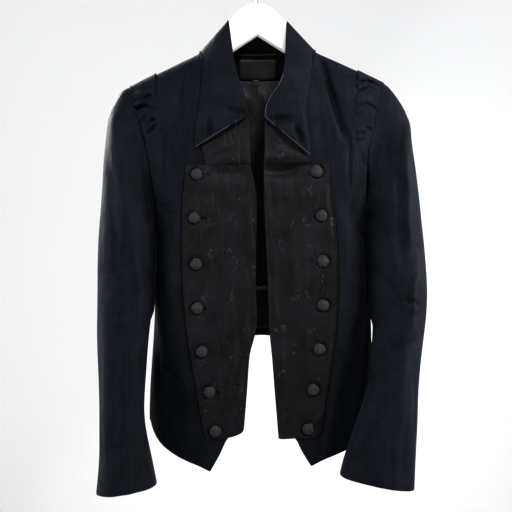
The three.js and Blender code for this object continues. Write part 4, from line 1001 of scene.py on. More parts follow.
@dataclass
class ClothPiece:
    """One sewn piece: its plain solid, refined, creased and dressed."""

    node: str
    slot: str
    material: bpy.types.Material
    shift: Shift
    flat: tuple[float, float] | None = None
    area: float | None = None
    levels: int = 3
    edge_crease: float = 0.72
    growth: float = 0.45
    held: Held = Held.HUNG
    rests_on: tuple[str, ...] = ()
    trims: tuple[bpy.types.Object, ...] = ()

    def cage(self) -> bpy.types.Mesh:
        """The solid's mesh, merged into four-sided faces with its sharp edges creased.

        Returns:
            A new mesh.
        """
        bm = merged_solid(self.node)
        self.join_quads(bm)
        crease = bm.edges.layers.float.new("crease_edge")
        sharp = {edge for edge in bm.edges if edge.calc_face_angle(0.0) > RIM_ANGLE}
        for edge in sharp:
            edge[crease] = self.edge_crease
        self.grow_rims(bm, sharp)
        mesh = bpy.data.meshes.new(f"{self.node}_cloth")
        bm.to_mesh(mesh)
        bm.free()
        return mesh

    @staticmethod
    def join_quads(bm: bmesh.types.BMesh) -> None:
        """Joins pairs of triangles across the edge that is the longest of both.

        Args:
            bm: The mesh to join, all triangles.
        """
        longest = {face: max(face.edges, key=lambda edge: edge.calc_length()) for face in bm.faces}
        diagonals = [edge for edge in bm.edges
                     if len(edge.link_faces) == 2
                     and all(longest[face] == edge for face in edge.link_faces)
                     and edge.calc_face_angle(0.0) < FLAT_PAIR]
        bmesh.ops.dissolve_edges(bm, edges=diagonals, use_verts=False)
        rest = [face for face in bm.faces if len(face.verts) == 3]
        bmesh.ops.join_triangles(bm, faces=rest, angle_face_threshold=LEFT_PAIR,
                                 angle_shape_threshold=LEFT_SHAPE)

    def grow_rims(self, bm: bmesh.types.BMesh, sharp: set[bmesh.types.BMEdge]) -> None:
        """Moves each cut edge out a little, so that sewn neighbours meet.

        Args:
            bm: The piece's mesh.
            sharp: Its sharp edges.
        """
        ways: dict[bmesh.types.BMVert, Vector] = {}
        for face in bm.faces:
            if sum(edge in sharp for edge in face.edges) >= RIM_SIDES:
                for vert in face.verts:
                    ways.setdefault(vert, Vector()).__iadd__(face.normal)
        for vert, way in ways.items():
            if way.length > CORNER_PULL:
                vert.co += way.normalized() * self.growth * MM

    def build(self) -> bpy.types.Object:
        """Returns:
            The finished object.
        """
        mesh = self.cage()
        piece = bpy.data.objects.new(f"{self.node}_cloth", mesh)
        bpy.context.scene.collection.objects.link(piece)
        refine(piece, self.levels)
        move_points(piece, self.shift)
        dress(piece, self.material)
        declare(piece, self.node)
        log.info("%s: %d faces", piece.name, len(piece.data.polygons))
        return piece


def apply_modifiers(piece: bpy.types.Object) -> None:
    """Bakes an object's modifiers into its mesh.

    Args:
        piece: The object.
    """
    seen = piece.evaluated_get(bpy.context.evaluated_depsgraph_get())
    baked = bpy.data.meshes.new_from_object(seen)
    baked.name = piece.data.name
    piece.modifiers.clear()
    piece.data = baked


def move_points(piece: bpy.types.Object, shift: Shift) -> None:
    """Moves a mesh's points.

    Args:
        piece: The object.
        shift: Gives each point's shift from its place, in metres.
    """
    count = len(piece.data.vertices)
    flat = np.empty(count * 3, np.float32)
    piece.data.vertices.foreach_get("co", flat)
    points = flat.reshape(count, 3).astype(float)
    points += shift(points)
    piece.data.vertices.foreach_set("co", points.astype(np.float32).ravel())
    piece.data.update()


def dress(piece: bpy.types.Object, material: bpy.types.Material, sharp: float = 45.0) -> None:
    """Shades an object smoothly and gives it its finish.

    Args:
        piece: The object.
        material: Its finish.
        sharp: The least angle of an edge that stays sharp, in degrees.
    """
    piece.data.materials.clear()
    piece.data.materials.append(material)
    piece.data.shade_smooth()
    piece.data.set_sharp_from_angle(angle=math.radians(sharp))


def object_from(bm: bmesh.types.BMesh, name: str) -> bpy.types.Object:
    """Makes an object from a bmesh, with its faces outwards.

    Args:
        bm: The mesh, which is freed.
        name: The object's name.

    Returns:
        The new object.
    """
    bmesh.ops.recalc_face_normals(bm, faces=bm.faces)
    mesh = bpy.data.meshes.new(name)
    bm.to_mesh(mesh)
    bm.free()
    piece = bpy.data.objects.new(name, mesh)
    bpy.context.scene.collection.objects.link(piece)
    return piece


class Surface:
    """The face of a cloth piece that shows from the front, to lay trims on."""

    def __init__(self, piece: bpy.types.Object) -> None:
        """Reads a piece's mesh.

        Args:
            piece: The cloth piece.
        """
        bm = bmesh.new()
        bm.from_mesh(piece.data)
        self.tree = BVHTree.FromBMesh(bm)
        bm.free()

    def at(self, x: float, z: float) -> Vector | None:
        """The point of the cloth that shows at a place.

        Args:
            x: Distance across, in metres.
            z: Height, in metres.

        Returns:
            The point, or None beside the cloth.
        """
        return self.tree.ray_cast(Vector((x, -LINE_PROBE, z)), Vector((0.0, 1.0, 0.0)))[0]


@dataclass
class Cord:
    """A thin round cord of cloth along a path."""

    name: str
    points: list[Vector]
    radius: float
    material: bpy.types.Material
    slot: str = "crepe"

    def build(self) -> bpy.types.Object:
        """Builds the cord.

        Returns:
            The finished object.
        """
        curve = bpy.data.curves.new(self.name, "CURVE")
        curve.dimensions = "3D"
        curve.bevel_depth = self.radius * MM
        curve.bevel_resolution = 2
        curve.use_fill_caps = True
        curve.resolution_u = 3
        spline = curve.splines.new("NURBS")
        spline.points.add(len(self.points) - 1)
        for point, place in zip(spline.points, self.points):
            point.co = (*place, 1.0)
        spline.order_u = 3
        spline.use_endpoint_u = True
        path = bpy.data.objects.new(f"{self.name}_path", curve)
        bpy.context.scene.collection.objects.link(path)
        seen = path.evaluated_get(bpy.context.evaluated_depsgraph_get())
        bm = bmesh.new()
        bm.from_mesh(seen.to_mesh())
        bpy.data.objects.remove(path)
        bmesh.ops.remove_doubles(bm, verts=bm.verts, dist=MERGE_DISTANCE)
        cord = object_from(bm, self.name)
        dress(cord, self.material, 70.0)
        declare(cord)
        log.info("%s", self.name)
        return cord


def faces_front(_middle: Vector, normal: Vector) -> bool:
    """Whether a face shows from the front."""
    return normal.y < -0.3


def faces_out(middle: Vector, normal: Vector) -> bool:
    """Whether a face looks away from the neck."""
    return middle.x * normal.x + middle.y * normal.y > 0.0


class Outline:
    """The cut edges round the outer face of a cloth piece."""

    def __init__(self, node: str, shift: Shift,
                 shows: Callable[[Vector, Vector], bool] = faces_front) -> None:
        """Finds the edges of a node's outer face.

        Args:
            node: The node.
            shift: The creases that the dressed piece gets.
            shows: Takes a face's middle and its normal, and picks the outer faces.
        """
        self.bm = merged_solid(node)
        ClothPiece.join_quads(self.bm)
        points = np.array([vert.co[:] for vert in self.bm.verts])
        self.places = [Vector(place) for place in points + shift(points)]
        self.bm.verts.index_update()
        sharp = {edge for edge in self.bm.edges if edge.calc_face_angle(0.0) > RIM_ANGLE}
        self.edges: list[tuple[bmesh.types.BMEdge, Vector]] = []
        for edge in (edge for edge in self.bm.edges if edge in sharp):
            sides = {sum(other in sharp for other in face.edges) >= RIM_SIDES: face
                     for face in edge.link_faces}
            if len(sides) == 2:
                outer = sides[False]
                if shows(outer.calc_center_median(), outer.normal):
                    self.edges.append((edge, sides[True].normal.copy()))

    def chain(self, keep: Callable[[Vector, Vector], bool]) -> list[Vector]:
        """The longest run of the edges that pass a test.

        Args:
            keep: Takes an edge's middle and the way its cut faces.

        Returns:
            The run's points in order.
        """
        links: dict[int, list[int]] = {}
        for edge, way in self.edges:
            first, second = edge.verts
            if keep((first.co + second.co) / 2, way):
                links.setdefault(first.index, []).append(second.index)
                links.setdefault(second.index, []).append(first.index)
        runs, seen = [], set()
        for start in sorted(links, key=lambda index: (len(links[index]), index)):
            run = []
            while start is not None and start not in seen:
                seen.add(start)
                run.append(start)
                start = next((other for other in links[start] if other not in seen), None)
            runs.append(run)
        return [self.places[index] for index in max(runs, key=len)]


@dataclass
class Body:
    """The fronts, the back and the armhole panels."""

    finishes: Finishes
    front_flat: tuple[float, float] = (0.205, 0.640)
    front_area: float = 0.0925
    back_flat: tuple[float, float] = (0.430, 0.580)
    back_area: float = 0.158
    panel_flat: tuple[float, float] = (0.060, 0.520)
    panel_area: float = 0.0157
    seam: float = 0.8
    seam_lean: float = 0.4
    pocket_thread: float = 0.5
    pockets: dict[Side, tuple[tuple[float, float], ...]] = field(default_factory=lambda: {
        Side.RIGHT: ((-149, -622), (-141, -627), (-133, -631), (-125, -638), (-117, -643)),
        Side.LEFT: ((118, -633), (125, -631), (132, -629), (139, -625), (146, -622)),
    })

    def build_front(self, side: Side) -> None:
        """Builds one front with the welt of its slanted pocket.

        Args:
            side: The wearer's side.
        """
        shift = front_shift(side)
        welt = ClothPiece(f"pocket_welt_{side.label}", "crepe", self.finishes.crepe, shift,
                          levels=2).build()
        ClothPiece(f"front_{side.label}", "crepe", self.finishes.crepe, shift, self.front_flat,
                   self.front_area, growth=0.25, rests_on=("hanger",), trims=(welt,)).build()
        face = Surface(welt)
        points = [face.at(x * MM, z * MM) for x, z in self.pockets[side]]
        points = [point for point in points if point]
        if len(points) > 2:
            Cord(f"pocket_opening_{side.label}", points, self.pocket_thread,
                 self.finishes.thread).build()

    def build_back(self) -> None:
        """Builds the back."""
        shift = body_shift(BODY_CREASES[Face.BACK], Face.BACK)
        ClothPiece("back", "crepe", self.finishes.crepe, shift, self.back_flat, self.back_area,
                   rests_on=("hanger",)).build()

    def build_panel(self, side: Side) -> None:
        """Builds one gathered armhole panel.

        Args:
            side: The wearer's side.
        """
        gathers = GATHER_CREASES[side]

        def shift(points: np.ndarray) -> np.ndarray:
            """Presses the body's creases and the gathers into both faces of the ring.

            Args:
                points: The points, in metres.

            Returns:
                Each point's shift, in metres.
            """
            x, z = points[:, 0] / MM, points[:, 2] / MM
            moved = np.zeros_like(points)
            for face in Face:
                depth = BODY_CREASES[face].depth_at(x, z) + gathers.depth_at(x, z)
                moved[:, 1] -= face.value * face_share(points, face) * depth * MM
            return moved

        outline = Outline(f"armhole_panel_{side.label}", shift)
        seams = tuple(
            Cord(f"armhole_{name}_seam_{side.label}",
                 outline.chain(lambda _, way: way.x * side.value * sign > self.seam_lean),
                 self.seam, self.finishes.thread).build()
            for name, sign in (("inner", -1), ("outer", 1)))
        ClothPiece(f"armhole_panel_{side.label}", "crepe", self.finishes.crepe, shift,
                   self.panel_flat, self.panel_area, growth=0.25, held=Held.GATHERED,
                   rests_on=("hanger",), trims=seams).build()

    def build(self) -> None:
        """Builds the body's pieces."""
        self.build_back()
        for side in Side:
            self.build_front(side)
            self.build_panel(side)


@dataclass
class Sleeve:
    """An upper and an under sleeve, creased round their own line."""

    side: Side
    finishes: Finishes
    flat: dict[str, tuple[float, float]]
    area: dict[str, float]
    press: tuple[tuple[float, float], ...]
    bands: int = 16
    face_gain: float = 2.0
    cap_z: float = -190.0
    cap_run: float = 60.0
    press_power: float = 1.5

    def middle_line(self) -> tuple[np.ndarray, np.ndarray]:
        """The sleeve's middle line, from the middles of bands of its points.

        Returns:
            Heights from the hem up, and the middle's X and Y at each.
        """
        clouds = []
        for part in ("upper", "under"):
            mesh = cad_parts[f"{part}_sleeve_{self.side.label}"].data
            flat = np.empty(len(mesh.vertices) * 3, np.float32)
            mesh.vertices.foreach_get("co", flat)
            clouds.append(flat.reshape(-1, 3))
        cloud = np.concatenate(clouds)
        edges = np.linspace(cloud[:, 2].min(), cloud[:, 2].max(), self.bands + 1)
        heights, middles = [], []
        for low, high in zip(edges[:-1], edges[1:]):
            held = cloud[(cloud[:, 2] >= low) & (cloud[:, 2] <= high)]
            heights.append((low + high) / 2)
            middles.append((held[:, :2].min(0) + held[:, :2].max(0)) / 2)
        return np.array(heights), np.array(middles)

    def shift(self) -> Shift:
        """The shift that creases the sleeve.

        Returns:
            A function from points to their shifts, in metres.
        """
        heights, middles = self.middle_line()
        faces = SLEEVE_CREASES[self.side]

        def move(points: np.ndarray) -> np.ndarray:
            """Presses each face's creases in towards the middle line.

            Args:
                points: The points, in metres.

            Returns:
                Each point's shift, in metres.
            """
            middle = np.stack([np.interp(points[:, 2], heights, middles[:, k]) for k in (0, 1)], 1)
            out = points[:, :2] - middle
            out /= np.maximum(np.linalg.norm(out, axis=1, keepdims=True), 1e-6)
            x, z = points[:, 0] / MM, points[:, 2] / MM
            depth = np.zeros(len(points))
            for face in Face:
                share = np.clip(out[:, 1] * face.value * self.face_gain, 0.0, 1.0)
                depth += share * faces[face].depth_at(x, z)
            ease = np.clip((self.cap_z - z) / self.cap_run, 0.0, 1.0)
            moved = np.zeros_like(points)
            moved[:, :2] = -out * (depth * ease)[:, None] * MM
            inner = np.clip(-out[:, 0] * self.side.value, 0.0, 1.0) ** self.press_power
            levels, reaches = np.array(sorted(self.press)).T
            moved[:, 0] -= self.side.value * inner * np.interp(z, levels, reaches) * MM
            return moved
        return move

    def build(self) -> None:
        """Builds both pieces of the sleeve."""
        shift = self.shift()
        for part in ("upper", "under"):
            ClothPiece(f"{part}_sleeve_{self.side.label}", "crepe", self.finishes.crepe, shift,
                       self.flat[part], self.area[part], growth=0.5).build()


@dataclass
class Collar:
    """The stand collar with its long wings, and the turned edge along them."""

    finishes: Finishes
    flat: tuple[float, float] = (0.170, 0.560)
    area: float = 0.0290
    edge: float = 0.85
    seam: float = 0.6
    nape: float = 1.1
    tack_place: Point = (86.0, -1.5, -138.9)
    tack_size: Point = (6.0, 7.5, 1.7)
    tack_slope: float = 0.42
    wing_y: float = -0.012
    wing_run: float = 0.02
    low_z: float = -0.150
    low_run: float = 0.05
    gorge_z: float = -0.175
    lower_y: float = -0.03
    outer_y: float = -0.02
    nape_y: float = -0.035
    tip_gap: float = 0.002

    def build(self) -> None:
        """Builds the collar."""
        front = body_shift(BODY_CREASES[Face.FRONT], Face.FRONT)
        wings = body_shift(COLLAR_CREASES, Face.FRONT)

        def shift(points: np.ndarray) -> np.ndarray:
            """Creases the wings only, and leaves the stand at the back of the neck.

            Args:
                points: The points, in metres.

            Returns:
                Each point's shift, in metres.
            """
            share = np.clip((self.wing_y - points[:, 1]) / self.wing_run, 0.0, 1.0)
            low = np.clip((self.low_z - points[:, 2]) / self.low_run, 0.0, 1.0)
            return wings(points) * share[:, None] + front(points) * (share * low)[:, None]

        ClothPiece("collar", "crepe", self.finishes.crepe, shift, self.flat, self.area,
                   growth=0.9, held=Held.FOLDED, rests_on=("front_right", "front_left", "back"),
                   trims=tuple(self.build_edges(shift))).build()

    def build_tack(self, side: Side) -> bpy.types.Object:
        """Builds the tack where the collar, the front and the back are sewn together.

        Args:
            side: The wearer's side.

        Returns:
            The finished object.
        """
        across, depth, height = (part * MM for part in self.tack_place)
        bm = bmesh.new()
        bmesh.ops.create_uvsphere(bm, u_segments=24, v_segments=12, radius=1.0)
        bmesh.ops.scale(bm, vec=Vector(self.tack_size) * MM, verts=bm.verts)
        matrix = (Matrix.Translation((side.value * across, depth, height))
                  @ Matrix.Rotation(side.value * self.tack_slope, 4, "Y"))
        bmesh.ops.transform(bm, matrix=matrix, verts=bm.verts)
        tack = object_from(bm, f"neck_tack_{side.label}")
        dress(tack, self.finishes.crepe, 80.0)
        declare(tack)
        return tack

    def build_edges(self, shift: Shift) -> list[bpy.types.Object]:
        """Builds the turned edges along the wings.

        Args:
            shift: The collar's own creases.

        Returns:
            The edge cords.
        """
        outline = Outline("collar", shift)
        cords = []
        for side in Side:
            def lower(middle: Vector, way: Vector) -> bool:
                """Whether an edge is on the wing's lower or front edge.

                Args:
                    middle: The edge's middle.
                    way: The way that its cut faces.

                Returns:
                    True where it is.
                """
                ours = middle.x * side.value > 0.0 and middle.y < self.lower_y
                front = side is Side.LEFT and way.x < -0.5 and middle.z < self.gorge_z
                return ours and (way.z < -0.15 or front)

            def outer(middle: Vector, way: Vector) -> bool:
                """Whether an edge lies along the front's side of the wing."""
                ours = middle.x * side.value > 0.0 and middle.y < self.outer_y
                return ours and way.x * side.value > 0.6 and middle.z < self.low_z

            cords.append(self.build_tack(side))
            tip = max((place for place in outline.places if place.y < self.lower_y),
                      key=lambda place: side.value * place.x - place.z)
            # The lower cords are real rolled edges dressed in the lighter crepe copy, which paints
            # a highlight along them; the outer cords wear the plain crepe.
            for name, keep, radius, finish in (("lower", lower, self.edge, self.finishes.edge),
                                               ("outer", outer, self.seam, self.finishes.crepe)):
                points = outline.chain(keep)
                if (points[0] - tip).length < (points[-1] - tip).length:
                    points.reverse()
                if (points[-1] - tip).length > self.tip_gap:
                    points.append(tip)
                cords.append(Cord(f"collar_{name}_edge_{side.label}", points, radius,
                                  finish).build())

        def nape(middle: Vector, way: Vector) -> bool:
            """Whether an edge is on the seam round the back of the neck."""
            return middle.y > self.nape_y and way.z < -0.4 and middle.z > self.gorge_z

        points = Outline("collar", shift, faces_out).chain(nape)
        cords.append(Cord("neck_seam", points, self.nape, self.finishes.crepe).build())
        return cords


@dataclass
class Plastrons:
    """The brocade-faced front edges and the facings above them, level where they meet."""

    finishes: Finishes
    plastron_flat: tuple[float, float] = (0.112, 0.412)
    plastron_area: float = 0.0398
    facing_flat: tuple[float, float] = (0.072, 0.090)
    facing_area: float = 0.0057
    meeting_z: float = -315.8
    probe: float = 3.0
    run: float = 46.0
    samples: int = 16
    end_gap: float = 0.002
    edge: float = 0.75
    # The near-black cord along the plastron's outer edge is a painted shadow line: its radius, and
    # how far it sits out and behind, in millimetres.
    seam: float = 0.8
    seam_across: float = 1.5
    seam_behind: float = 0.7

    def level_with(self, side: Side) -> Shift:
        """The shift that brings the facing's lower end out level with the plastron.

        Args:
            side: The wearer's side.

        Returns:
            A function from points to their shifts, in metres.
        """
        surfaces = [Surface(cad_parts[f"{name}_{side.label}"])
                    for name in ("plastron", "neck_facing")]
        low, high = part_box(f"neck_facing_{side.label}")
        across, steps = [], []
        for x in np.linspace(low.x + self.end_gap, high.x - self.end_gap, self.samples):
            below = surfaces[0].at(x, (self.meeting_z - self.probe) * MM)
            above = surfaces[1].at(x, (self.meeting_z + self.probe) * MM)
            if below and above:
                across.append(x)
                steps.append(below.y - above.y)

        def shift(points: np.ndarray) -> np.ndarray:
            """Moves the facing out by the step, fading upwards.

            Args:
                points: The points, in metres.

            Returns:
                Each point's shift, in metres.
            """
            rise = (points[:, 2] / MM - self.meeting_z) / self.run
            share = np.clip(1.0 - rise, 0.0, 1.0)
            moved = np.zeros_like(points)
            moved[:, 1] = np.interp(points[:, 0], across, steps) * share**2 * (3.0 - 2.0 * share)
            return moved
        return shift

    def build(self, side: Side) -> Surface:
        """Builds a side's plastron and neck facing.

        Args:
            side: The wearer's side.

        Returns:
            The plastron's face.
        """
        front = front_shift(side)
        crinkled = body_shift(PLASTRON_CREASES[side], Face.FRONT, 0.0)
        dimples = Buttons(self.finishes).dimples(side)
        under = (f"front_{side.label}",)
        material = self.finishes.brocade[side]
        shift = add_shifts(front, crinkled, dimples)
        outline = Outline(f"plastron_{side.label}", shift)
        points = outline.chain(lambda _, way: way.x * side.value > 0.6)
        edge = Cord(f"plastron_edge_{side.label}", points, self.edge, material, "brocade").build()
        # A near-black thread cord just outside and behind the plastron's edge paints the shadow
        # line along it.
        aside = Vector((side.value * self.seam_across, self.seam_behind, 0.0)) * MM
        Cord(f"plastron_seam_{side.label}", [point + aside for point in points], self.seam,
             self.finishes.thread).build()
        plastron = ClothPiece(
            f"plastron_{side.label}", "brocade", material, shift, self.plastron_flat,
            self.plastron_area, edge_crease=1.0, growth=0.16, held=Held.FOLDED, rests_on=under,
            trims=(edge,)).build()
        ClothPiece(f"neck_facing_{side.label}", "brocade", material,
                   add_shifts(front, self.level_with(side)), self.facing_flat,
                   self.facing_area, edge_crease=1.0, growth=0.16, held=Held.FOLDED,
                   rests_on=under).build()
        return Surface(plastron)


@dataclass
class Inside:
    """What shows inside the back of the neck."""

    finishes: Finishes
    pleat: tuple[tuple[float, float], ...] = ((-15, -489), (-11, -493), (-6, -500), (0, -502),
                                              (6, -499), (11, -495), (16, -493))
    pleat_radius: float = 1.3
    loop_draw: float = 0.45

    def build(self) -> None:
        """Builds the facing, the lining, the label, the size tab and the hanging loop."""
        folds = Creases((
            Crease(-40, -188, -8, -214, 7, 2.4),
            Crease(6, -196, 30, -226, 8, 2.6),
            Crease(-14, -503, 15, -496, 4.5, 7.0, 0.5),
            Crease(-60, -470, -8, -492, 8, 3.0),
            Crease(10, -512, 60, -480, 8, 3.0),
            Crease(0.5, -180, 0.5, -560, 1.8, 1.2, 0.8, 0.1),
        ), 0.5, 0.3)

        def still(points: np.ndarray) -> np.ndarray:
            """Leaves the points where they are."""
            return np.zeros_like(points)

        def forward(points: np.ndarray) -> np.ndarray:
            """Folds the lining forward, clear of the back.

            Args:
                points: The points, in metres.

            Returns:
                Each point's shift, in metres.
            """
            moved = np.zeros_like(points)
            depth = folds.depth_at(points[:, 0] / MM, points[:, 2] / MM)
            moved[:, 1] = -np.maximum(depth, 0.0) * MM
            return moved

        def flatten(points: np.ndarray) -> np.ndarray:
            """Draws the loop's two edges together, as its tape hangs edge on.

            Args:
                points: The points, in metres.

            Returns:
                Each point's shift, in metres.
            """
            moved = np.zeros_like(points)
            middle = (points[:, 2].min() + points[:, 2].max()) / 2
            moved[:, 2] = self.loop_draw * (middle - points[:, 2])
            return moved

        finishes = self.finishes
        loop = ClothPiece("hang_loop", "woven_tape", finishes.loop, flatten, levels=2).build()
        tab = ClothPiece("size_tab", "woven_tape", finishes.tab, still, levels=2).build()
        ClothPiece("back_neck_facing", "crepe", finishes.crepe, still, (0.128, 0.046), 0.0056,
                   levels=2, rests_on=("back",), trims=(loop,)).build()
        lining = ClothPiece("back_lining", "lining_satin", finishes.satin, forward,
                            (0.205, 0.440), 0.079, rests_on=("back",), trims=(tab,)).build()
        face = Surface(lining)
        pleat = [face.at(x * MM, z * MM) for x, z in self.pleat]
        # The pleat's edge is a real cord of cloth, dressed in the lighter satin that paints the
        # fold's highlight.
        Cord("lining_pleat_edge", [point for point in pleat if point], self.pleat_radius,
             finishes.pleat, "lining_satin").build()
        ClothPiece("neck_label", "woven_tape", finishes.label, still, (0.061, 0.032), 0.0019,
                   levels=2, held=Held.LAID, rests_on=("back_neck_facing",)).build()


@dataclass
class Buttons:
    """Cloth-covered shank buttons, each a turned dome with a rolled rim."""

    finishes: Finishes
    radius: float = 8.5
    height: float = 5.9
    lift: float = 0.3
    dimple: float = 1.9
    spread: float = 3.0
    steps: int = 40
    count: int = 7
    turn: float = 0.7
    pad_height: float = 0.13
    pad_reach: float = 0.8
    # The dome's outline, in shares of its radius and height, from under its near-black pad, which
    # paints a shadow ring round the button, to its top
    outline: ClassVar[tuple[tuple[float, float], ...]] = (
        (0.0, 0.0), (1.13, 0.0), (1.16, 0.03), (1.13, 0.07), (0.90, 0.08), (0.89, 0.12),
        (0.965, 0.17), (1.0, 0.28), (0.985, 0.44), (0.915, 0.62), (0.78, 0.78), (0.58, 0.90),
        (0.32, 0.975), (0.0, 1.0))

    def dome(self) -> bmesh.types.BMesh:
        """One button about the origin, its axis along -Y.

        Returns:
            The button's mesh.
        """
        bm = bmesh.new()
        verts = [bm.verts.new((out * self.radius * MM, -up * self.height * MM, 0.0))
                 for out, up in self.outline]
        edges = [bm.edges.new(pair) for pair in zip(verts[:-1], verts[1:])]
        bmesh.ops.spin(bm, geom=[*verts, *edges], cent=(0, 0, 0), axis=(0, 1, 0),
                       angle=math.tau, steps=self.steps, use_merge=True)
        bmesh.ops.remove_doubles(bm, verts=bm.verts, dist=MERGE_DISTANCE)
        return bm

    def places(self, side: Side) -> list[tuple[str, Vector]]:
        """Where a side's buttons are.

        Args:
            side: The wearer's side.

        Returns:
            Each button's node and the middle of its box.
        """
        names = [f"button_{side.label}_{number}" for number in range(1, self.count + 1)]
        return [(name, sum(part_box(name), Vector()) / 2) for name in names]

    def dimples(self, side: Side) -> Shift:
        """The shift that sinks the cloth round each button.

        Args:
            side: The wearer's side.

        Returns:
            A function from points to their shifts, in metres.
        """
        places = [middle for _, middle in self.places(side)]

        def shift(points: np.ndarray) -> np.ndarray:
            """Sinks the points by their distance from the nearest button's rim.

            Args:
                points: The points, in metres.

            Returns:
                Each point's shift, in metres.
            """
            moved = np.zeros_like(points)
            for middle in places:
                away = np.hypot(points[:, 0] - middle.x, points[:, 2] - middle.z) / MM
                inside = np.minimum(away, self.radius)
                moved[:, 1] += self.dimple * np.exp(-(((away - inside) / self.spread) ** 2)) * MM
            return moved
        return shift

    def build(self, side: Side, cloth: Surface) -> None:
        """Builds a side's buttons, each where its solid is.

        Args:
            side: The wearer's side.
            cloth: The plastron's face.
        """
        for number, (node, middle) in enumerate(self.places(side)):
            reach = self.radius * MM
            left, right = (cloth.at(middle.x + dx, middle.z) for dx in (-reach, reach))
            below, above = (cloth.at(middle.x, middle.z + dz) for dz in (-reach, reach))
            turn = Matrix.Rotation(self.turn * number, 4, "Y")
            if left and right:
                turn = Matrix.Rotation(math.atan2(right.y - left.y, 2 * reach), 4, "Z") @ turn
            if below and above:
                turn = Matrix.Rotation(-math.atan2(above.y - below.y, 2 * reach), 4, "X") @ turn
            bm = self.dome()
            bmesh.ops.transform(bm, matrix=turn, verts=bm.verts)
            base = cloth.at(middle.x, middle.z) or middle
            bmesh.ops.translate(bm, verts=bm.verts, vec=base - Vector((0.0, self.lift * MM, 0.0)))
            piece = object_from(bm, f"{node}_covered")
            dress(piece, self.finishes.covered, 80.0)
            piece.data.materials.append(self.finishes.thread)
            # The faces of the pad beyond the rim take the near-black thread finish: a painted
            # shadow ring round each button.
            for face in piece.data.polygons:
                away = face.center - base
                low = away.y > -self.pad_height * self.height * MM
                if low and away.length > self.pad_reach * reach:
                    face.material_index = 1
            declare(piece, node)
        log.info("%d covered buttons on the %s", self.count, side.label)


@dataclass
class Buttonholes:
    """Worked buttonholes: a slit between two corded lips, on the centre side of each button."""

    finishes: Finishes
    length: float = 11.0
    lip: float = 0.65
    inset: float = 5.2

    def build(self, side: Side, cloth: Surface) -> None:
        """Builds a side's buttonholes as one piece.

        Args:
            side: The wearer's side.
            cloth: The plastron's face.
        """
        bm = bmesh.new()
        for _, middle in Buttons(self.finishes).places(side):
            x = middle.x - side.value * (Buttons.radius + self.inset) * MM
            ends = [cloth.at(x + k * self.length / 2 * MM, middle.z) for k in (-1, 1)]
            if None in ends:
                continue
            turn = Matrix.Rotation(math.atan2(ends[1].y - ends[0].y, ends[1].x - ends[0].x), 4, "Z")
            for step in (-1, 1):
                made = bmesh.ops.create_uvsphere(bm, u_segments=20, v_segments=8, radius=1.0)
                size = (self.length / 2 * MM, self.lip * MM, self.lip * MM)
                bmesh.ops.scale(bm, vec=size, verts=made["verts"])
                bmesh.ops.transform(bm, matrix=turn, verts=made["verts"])
                place = (ends[0] + ends[1]) / 2 + Vector((0.0, 0.0, step * self.lip * 0.9 * MM))
                bmesh.ops.translate(bm, vec=place, verts=made["verts"])
        piece = object_from(bm, f"buttonholes_{side.label}")
        dress(piece, self.finishes.thread, 80.0)
        declare(piece)
        log.info("buttonholes on the %s", side.label)


@dataclass
class Hanger:
    """The flat hanger and its wire hook."""

    finishes: Finishes
    soften: float = 1.2
    flat_angle: float = 1.0
    edge_angle: float = 28.0

    def build_plate(self) -> None:
        """Builds the hanger with softened edges."""
        bm = merged_solid("hanger")
        bmesh.ops.dissolve_limit(bm, angle_limit=math.radians(self.flat_angle), verts=bm.verts,
                                 edges=bm.edges)
        bound = math.radians(self.edge_angle)
        sharp = [edge for edge in bm.edges if edge.calc_face_angle(0.0) > bound]
        bmesh.ops.bevel(bm, geom=sharp, offset=self.soften * MM, offset_type="OFFSET",
                        affect="EDGES", segments=3, profile=0.5, material=-1, clamp_overlap=True)
        piece = object_from(bm, "hanger_plate")
        dress(piece, self.finishes.plastic, 40.0)
        declare(piece, "hanger")
        log.info("hanger")

    def build_hook(self) -> None:
        """Gives the hook a round wire."""
        piece = object_from(merged_solid("hanger_hook"), "hanger_hook_wire")
        refine(piece, 2)
        dress(piece, self.finishes.wire, 60.0)
        declare(piece, "hanger_hook")
        log.info("hook")

    def build(self) -> None:
        """Builds the hanger and the hook."""
        self.build_plate()
        self.build_hook()


